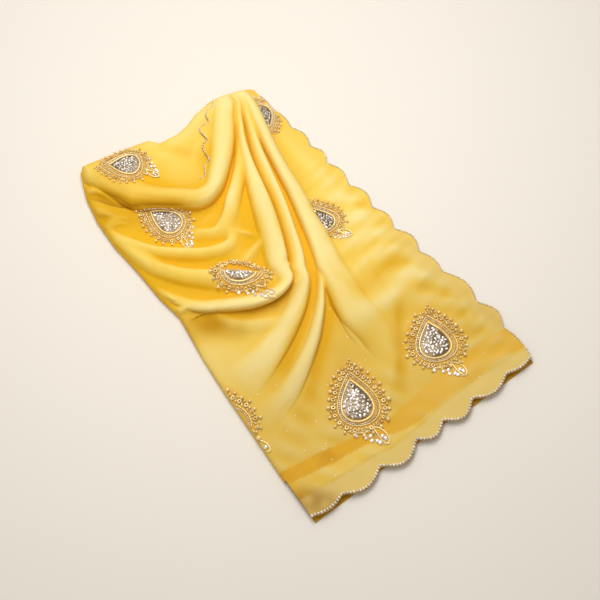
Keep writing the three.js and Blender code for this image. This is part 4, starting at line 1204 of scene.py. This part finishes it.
class Heap:  # gathers copies of small shapes for one joined mesh
    def __init__(self):
        self.points, self.faces, self.tones, self.count = [], [], [], 0

    def add(self, points, faces, tones):  # one more lot of points and faces
        self.faces += [[corner + self.count for corner in face] for face in faces]
        self.points.append(points)
        self.tones.append(tones)
        self.count += len(points)

    def copies(self, shape, places, along, up, sizes, tones):  # place + along * x + across * y + up * z
        points, faces = shape
        across = np.cross(up, along)
        across /= np.linalg.norm(across, axis=1, keepdims=True)
        along = np.cross(across, up)
        axes = np.stack([along, across, up], 1)
        moved = places[:, None] + np.einsum("pk,nk,nkd->npd", points, sizes, axes)
        size = len(points)
        allFaces = [[corner + k * size for corner in face] for k in range(len(places)) for face in faces]
        self.add(moved.reshape(-1, 3), allFaces, np.repeat(tones, size))

    def cord(self, path, up, radius, tone, sides=6):  # circle carried along a line of points
        way = np.gradient(path, axis=0)
        way /= np.linalg.norm(way, axis=1, keepdims=True) + 1e-9
        across = np.cross(up, way)
        across /= np.linalg.norm(across, axis=1, keepdims=True) + 1e-9
        above = np.cross(way, across)
        angle = np.arange(sides) * 2 * np.pi / sides
        ring = across[:, None] * np.cos(angle)[:, None] + above[:, None] * np.sin(angle)[:, None]
        points = path[:, None] + ring * np.broadcast_to(radius, (len(path),))[:, None, None]
        index = np.arange(len(path) * sides).reshape(len(path), sides)
        side = np.roll(index, -1, 1)
        faces = np.stack([index[:-1], side[:-1], side[1:], index[1:]], -1).reshape(-1, 4).tolist()
        faces += [index[0][::-1].tolist(), index[-1].tolist()]
        self.add(points.reshape(-1, 3), faces, np.full(len(path) * sides, tone))

    def make(self, name, material, slot, smooth=True):  # the joined mesh as a piece of the frame
        points = np.concatenate(self.points)
        tone = np.concatenate(self.tones)[:, None].repeat(3, 1)
        piece = addPiece(name, points, self.faces, material, {"tone": tone})
        if not smooth:
            piece.data.shade_flat()
        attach(piece, "root")


def teardrop(turn, size, rise=0.0):  # u = w/2 sin t sin(t/2)^lean / 0.77, v = l/2 cos t, tip at t = 0
    u = size[0] / 2 * np.sin(turn) * np.abs(np.sin(turn / 2)) ** motif["lean"] / 0.77
    return np.stack([u, size[1] / 2 * np.cos(turn) + rise], -1)


def evenTeardrop(count, size, rise=0.0, start=0.0):  # evenly spaced places on the outline, with its way
    turn = np.linspace(0, 2 * np.pi, 721)
    line = teardrop(turn, size, rise)
    length = np.concatenate([[0], np.cumsum(np.linalg.norm(np.diff(line, axis=0), axis=1))])
    want = (np.arange(count) + start) / count * length[-1]
    places = np.stack([np.interp(want, length, line[:, k]) for k in (0, 1)], -1)
    ahead = np.stack([np.interp(want + 0.5, length, line[:, k]) for k in (0, 1)], -1)
    behind = np.stack([np.interp(want - 0.5, length, line[:, k]) for k in (0, 1)], -1)
    way = ahead - behind
    return places, way / (np.linalg.norm(way, axis=1, keepdims=True) + 1e-9)


# length, width and height of the beads that are all alike, and how many lie on the string and at the foot
beadSizes = {
    "string": (2.1, 1.9, 1.6), "slant": (4.4, 1.7, 1.6), "tip": (3.0, 2.8, 2.4),
    "tail": (5.4, 4.4, 3.2), "foot": (4.6, 1.8, 1.6),
}
beadCounts = {"string": 66, "foot": 9}
# beads past the tip, the curled tail's line right of the base, and the large stones round it
tipSpots = ((0.5, 2.5), (2.5, 5.5), (-2.5, 4.5), (1.5, 9.5), (5.0, 8.0), (4.0, 12.5), (6.0, 3.5))
tailLine = ((9, -31), (12, -39), (15, -47), (18.5, -52), (22, -52), (23, -47), (21, -41), (16, -35), (9, -32))
tailSpots = (
    (-0.5, -41.5), (5, -46), (10.5, -47.5), (5, -41), (13, -50), (17, -44), (19.5, -47), (-9.5, -37.5))


def motifParts(draw):  # one motif flat: each kind's places, directions, sizes and tones, and the cord lines
    parts = {"stone": [], "round": [], "long": [], "loop": [], "goldRound": []}
    cords = []

    def put(kind, places, ways, sizes, tones):  # adds a set of copies, single values spread over all of them
        count = len(places)
        parts[kind].append((places, np.broadcast_to(ways, (count, 2)), np.broadcast_to(sizes, (count, 3)),
                            np.broadcast_to(tones, (count,))))

    # stones set close in the middle
    spacing = motif["stone"]
    u, v = np.meshgrid(np.arange(-5, 6) * spacing, np.arange(-7, 8) * spacing * 0.88, indexing="ij")
    u = u + (np.arange(15) % 2)[None] * spacing / 2
    grid = np.stack([u.ravel(), v.ravel()], -1) + draw.uniform(-1.1, 1.1, (u.size, 2))
    turn = np.arccos(np.clip(2 * grid[:, 1] / (motif["core"][1] * 0.92), -1, 1))
    reach = teardrop(turn, (motif["core"][0] * 0.90, motif["core"][1]))[:, 0]
    grid = grid[(np.abs(grid[:, 0]) < reach) & (np.abs(grid[:, 1]) < motif["core"][1] * 0.45)]
    count = len(grid)
    angle = draw.uniform(0, np.pi, count)
    sizes = np.stack([draw.uniform(least, most, count) for least, most in motif["stoneSizes"]], -1)
    put("stone", grid, np.stack([np.cos(angle), np.sin(angle)], -1), sizes, draw.uniform(0.3, 1.0, count))
    # cords and the string of beads round them
    cords.append((evenTeardrop(96, motif["inner"])[0], 1.15, 0.85))
    cords.append((evenTeardrop(110, motif["outer"], motif["raise"])[0] + (motif["drift"], 0), 0.8, 0.7))
    count = beadCounts["string"]
    places, ways = evenTeardrop(count, motif["string"], motif["raise"] * 0.6)
    places = places + (motif["drift"] * 0.7, 0)
    put("round", places, ways, beadSizes["string"], draw.uniform(0.3, 0.95, count))
    # rays: a bead at the end, a loop half way, and smaller beads between the rays
    count = motif["rays"]
    places, ways = evenTeardrop(2 * count, motif["rayFrom"], motif["raise"], 0.5)
    places = places + (motif["drift"], 0)
    outward = np.stack([ways[:, 1], -ways[:, 0]], -1)
    outward *= np.sign((outward * (places - [0, -8])).sum(1))[:, None]
    ray, gap = np.arange(0, 2 * count, 2), np.arange(1, 2 * count, 2)
    long = motif["rayLong"] * draw.uniform(0.86, 1.12, count)
    size = motif["bead"] * draw.uniform(0.8, 1.12, count)
    put("goldRound", places[ray] + outward[ray] * long[:, None], outward[ray],
        np.stack([size, size * 0.92, size * 0.85], -1), draw.uniform(0.65, 1.0, count))
    size = draw.uniform(4.6, 6.2, count)
    put("loop", places[ray] + outward[ray] * draw.uniform(3.4, 4.8, count)[:, None], outward[ray],
        np.stack([size, size * 0.85, size * 0.7], -1), draw.uniform(0.45, 1.0, count))
    size = draw.uniform(2.4, 3.8, count)
    put("goldRound", places[gap] + outward[gap] * draw.uniform(5.0, 7.6, count)[:, None], outward[gap],
        np.stack([size, size, size * 0.85], -1), draw.uniform(0.4, 1.0, count))
    beside = np.stack([-outward[gap, 1], outward[gap, 0]], -1)
    slant = outward[gap] + beside * draw.uniform(-1, 1, count)[:, None]
    put("long", places[gap] + outward[gap] * 2.2, slant, beadSizes["slant"], draw.uniform(0.35, 1.0, count))
    lace = places + outward * np.where(np.arange(2 * count) % 2 == 0, 7.4, 2.2)[:, None]
    lace = np.concatenate([lace, lace[:1]])
    cords.append((splinePoints(lace, np.linspace(0, 1, 6 * count + 1)), 0.45, 0.3))
    # the cluster past the tip
    tip = motif["outer"][1] / 2 + motif["raise"]
    spots = np.array(tipSpots) + (motif["drift"], tip)
    put("goldRound", spots, (0, 1), beadSizes["tip"], draw.uniform(0.5, 1.0, len(spots)))
    # the curled tail right of the base, with large stones and slanted long beads
    curl = np.array(tailLine)
    cords.append((splinePoints(curl, np.linspace(0, 1, 50)), 0.9, 0.95))
    cords.append((splinePoints(curl[:5] - (2.6, 0.6), np.linspace(0, 1, 20)), 0.6, 0.7))
    spots = np.array(tailSpots)
    angle = draw.uniform(0, np.pi, len(spots))
    ways = np.stack([np.cos(angle), np.sin(angle)], -1)
    put("stone", spots, ways, beadSizes["tail"], draw.uniform(0.75, 1.0, len(spots)))
    count = beadCounts["foot"]
    row = np.stack([np.linspace(-15, 5, count), -30.5 - 5.5 * np.sin(np.linspace(0.3, 1.9, count))], -1)
    put("long", row, (0.8, -0.6), beadSizes["foot"], draw.uniform(0.5, 1.0, count))
    return parts, cords


def beforeCrest(plan, hider=motif["tuckFold"]):  # true on the near side of the crest that cuts a motif
    if hider != motif["tuckFold"]:
        return np.full(len(plan), True)
    _, side, _, _, _ = besideFold(plan, foldNamed(hider))
    return side > -1.0


def motifs():  # lays the motifs on the cloth: u along their right, v towards their tip, w up from the cloth
    draw = np.random.default_rng(11)
    stones, silver, gold = Heap(), Heap(), Heap()
    kinds = {  # shape, mesh it goes to, and how high it sits in shares of its height
        "stone": (cutStone, stones, 0.3), "round": (roundBead, silver, 0.45), "long": (longBead, gold, 0.4),
        "loop": (loopBead, gold, 0.35), "goldRound": (roundBead, gold, 0.4)}
    around, inwards = 49, 12
    for (cx, cy), turn, wide, long, mirror, hider in motifRows:
        angle = math.radians(turn)
        right = np.array([math.cos(angle), math.sin(angle)]) * wide * mirror
        ahead = np.array([-math.sin(angle), math.cos(angle)]) * long

        def placed(local, hider=hider):  # the motif's own u and v to the plan
            return tucked(local[:, :1] * right + local[:, 1:] * ahead + (cx, cy), hider)

        parts, cords = motifParts(draw)
        for kind, rows in parts.items():
            shape, heap, sink = kinds[kind]
            for places, ways, sizes, tones in rows:
                plan = placed(places)
                if kind in ("stone", "round") and hider == motif["tuckFold"]:
                    tones = np.where(beforeCrest(plan), tones, -1)
                aim = ways[:, :1] * right + ways[:, 1:] * ahead
                shown = visibleOnly(plan[:, 0], plan[:, 1], hider) & (tones >= 0)
                if not shown.any():
                    continue
                plan, aim, sizes, tones = plan[shown], aim[shown], sizes[shown], tones[shown]
                here, east, north, up = onCloth(plan[:, 0], plan[:, 1])
                along = east * aim[:, :1] + north * aim[:, 1:]
                scaled = sizes * math.sqrt(wide * long)
                heap.copies(shape, here + up * scaled[:, 2:] * sink, along, up, scaled, tones)
        for line, radius, tone in cords:
            plan = placed(line)
            shown = visibleOnly(plan[:, 0], plan[:, 1], hider) & beforeCrest(plan, hider)
            breaks = np.flatnonzero(np.diff(shown.astype(int)) != 0) + 1
            for run in np.split(np.arange(len(line)), breaks):
                if shown[run[0]] and len(run) > 2:
                    here, _, _, up = onCloth(plan[run, 0], plan[run, 1])
                    gold.cord(here + up * radius * 0.7, up, radius, tone)
        # a low dark cushion between the stones, painted shade of the gaps between them
        rim = teardrop(np.linspace(0, 2 * np.pi, around), motif["core"])
        fan = np.linspace(0.02, 1, inwards)
        disc = placed((rim[:, None] * fan[None, :, None]).reshape(-1, 2))
        shown = visibleOnly(disc[:, 0], disc[:, 1], hider) & beforeCrest(disc, hider)
        shown = shown.reshape(around, inwards)
        here, _, _, up = onCloth(disc[:, 0], disc[:, 1])
        here = here + up * (0.25 + 0.5 * (1 - np.tile(fan, around)[:, None] ** 2))
        faces = gridFaces(around, inwards)[(shown[:-1, :-1] & shown[1:, 1:]).ravel()]
        if mirror > 0:
            faces = faces[:, ::-1]
        used, renamed = np.unique(faces, return_inverse=True)
        stones.add(here[used], renamed.reshape(faces.shape).tolist(), np.zeros(len(used)))
    stones.make("motifStones", stoneSilver, "silver_beads", smooth=False)
    silver.make("motifBeads", silverBead, "silver_beads")
    gold.make("motifGold", goldBead, "gold_thread")


def lineOnEdge(x, y, pitch):  # evenly spaced places along a line of plan points
    length = np.concatenate([[0], np.cumsum(np.hypot(np.diff(x), np.diff(y)))])
    want = np.linspace(0, length[-1], int(length[-1] / pitch) + 1)
    return np.interp(want, length, x), np.interp(want, length, y)


# each edge's beads, their spacing and how far in they sit, and the dark binding cord's radius, way out and
# drop; the cord also paints the edge's shadow
endTrim = {"bead": 3.15, "pitch": 3.35, "inset": 0.5, "cord": 0.62, "out": 0.9, "drop": 0.7}
sideTrim = {"bead": 2.0, "pitch": 2.7, "inset": 0.1, "cord": 0.5, "out": 0.2, "drop": 0.1}
lipTrim = {"bead": 2.2, "pitch": 2.9, "inset": 0.2, "cord": 0.45, "out": 0.3, "drop": 0.4}


def trimLine(silver, gold, x, y, inward, trim, draw):  # beads along the edge beside its dark binding cord, which also paints the edge's shadow
    bx, by = lineOnEdge(x + inward[0] * trim["inset"], y + inward[1] * trim["inset"], trim["pitch"])
    here, _, _, up = onCloth(bx, by)
    way = np.gradient(here, axis=0)
    size = trim["bead"] * draw.uniform(0.9, 1.06, len(bx))
    silver.copies(roundBead, here + up * trim["bead"] * 0.2, way, up, np.stack([size, size, size * 0.95], -1),
                  draw.uniform(0.55, 1.0, len(bx)))
    here, _, _, up = onCloth(*lineOnEdge(x, y, 1.5))
    here[:, :2] -= np.array(inward) * trim["out"]
    here[:, 2] -= trim["drop"]
    # dark tone: the binding and a painted shadow below the beads
    gold.cord(here, up, trim["cord"], 0.12)


# a few loose sequins over the fan: corners of their field, how many, their size and height off the cloth
sequins = {"low": (-110, -190), "high": (140, -20), "count": 44, "size": (1.3, 1.3, 0.5), "off": 0.15}


def edgeTrim():  # beads and cord along the right edge, the end edge and the rolled fold's edge, and sequins
    draw = np.random.default_rng(5)
    silver, gold = Heap(), Heap()
    line = pile["endLine"]
    y = np.linspace(line, 229, 900)
    trimLine(silver, gold, scallopedRight(y), y, (-1, 0), sideTrim, draw)
    x = np.linspace(leftEdge(line) + 1, scallopedRight(np.array([line]))[0] - 1, 700)
    trimLine(silver, gold, x, scallopedEnd(x), (0, 1), endTrim, draw)
    lip = rolledFoldPlan(36)[:, 0]
    lip = lip[lipShare(shares) > 0.5]
    trimLine(silver, gold, lip[:, 0], lip[:, 1], (0.6, -0.6), lipTrim, draw)
    spots = draw.uniform(sequins["low"], sequins["high"], (sequins["count"], 2))
    spots = spots[spots[:, 0] + 0.9 * spots[:, 1] < 90]
    here, east, _, up = onCloth(spots[:, 0], spots[:, 1])
    sizes = np.tile(sequins["size"], (len(spots), 1))
    silver.copies(roundBead, here + up * sequins["off"], east, up, sizes, np.full(len(spots), 1.0))
    silver.make("edgeBeads", silverBead, "silver_beads")
    gold.make("edgeCords", goldBead, "gold_thread")


motifs()
print("motifs ready")
edgeTrim()
print("edge beads ready")
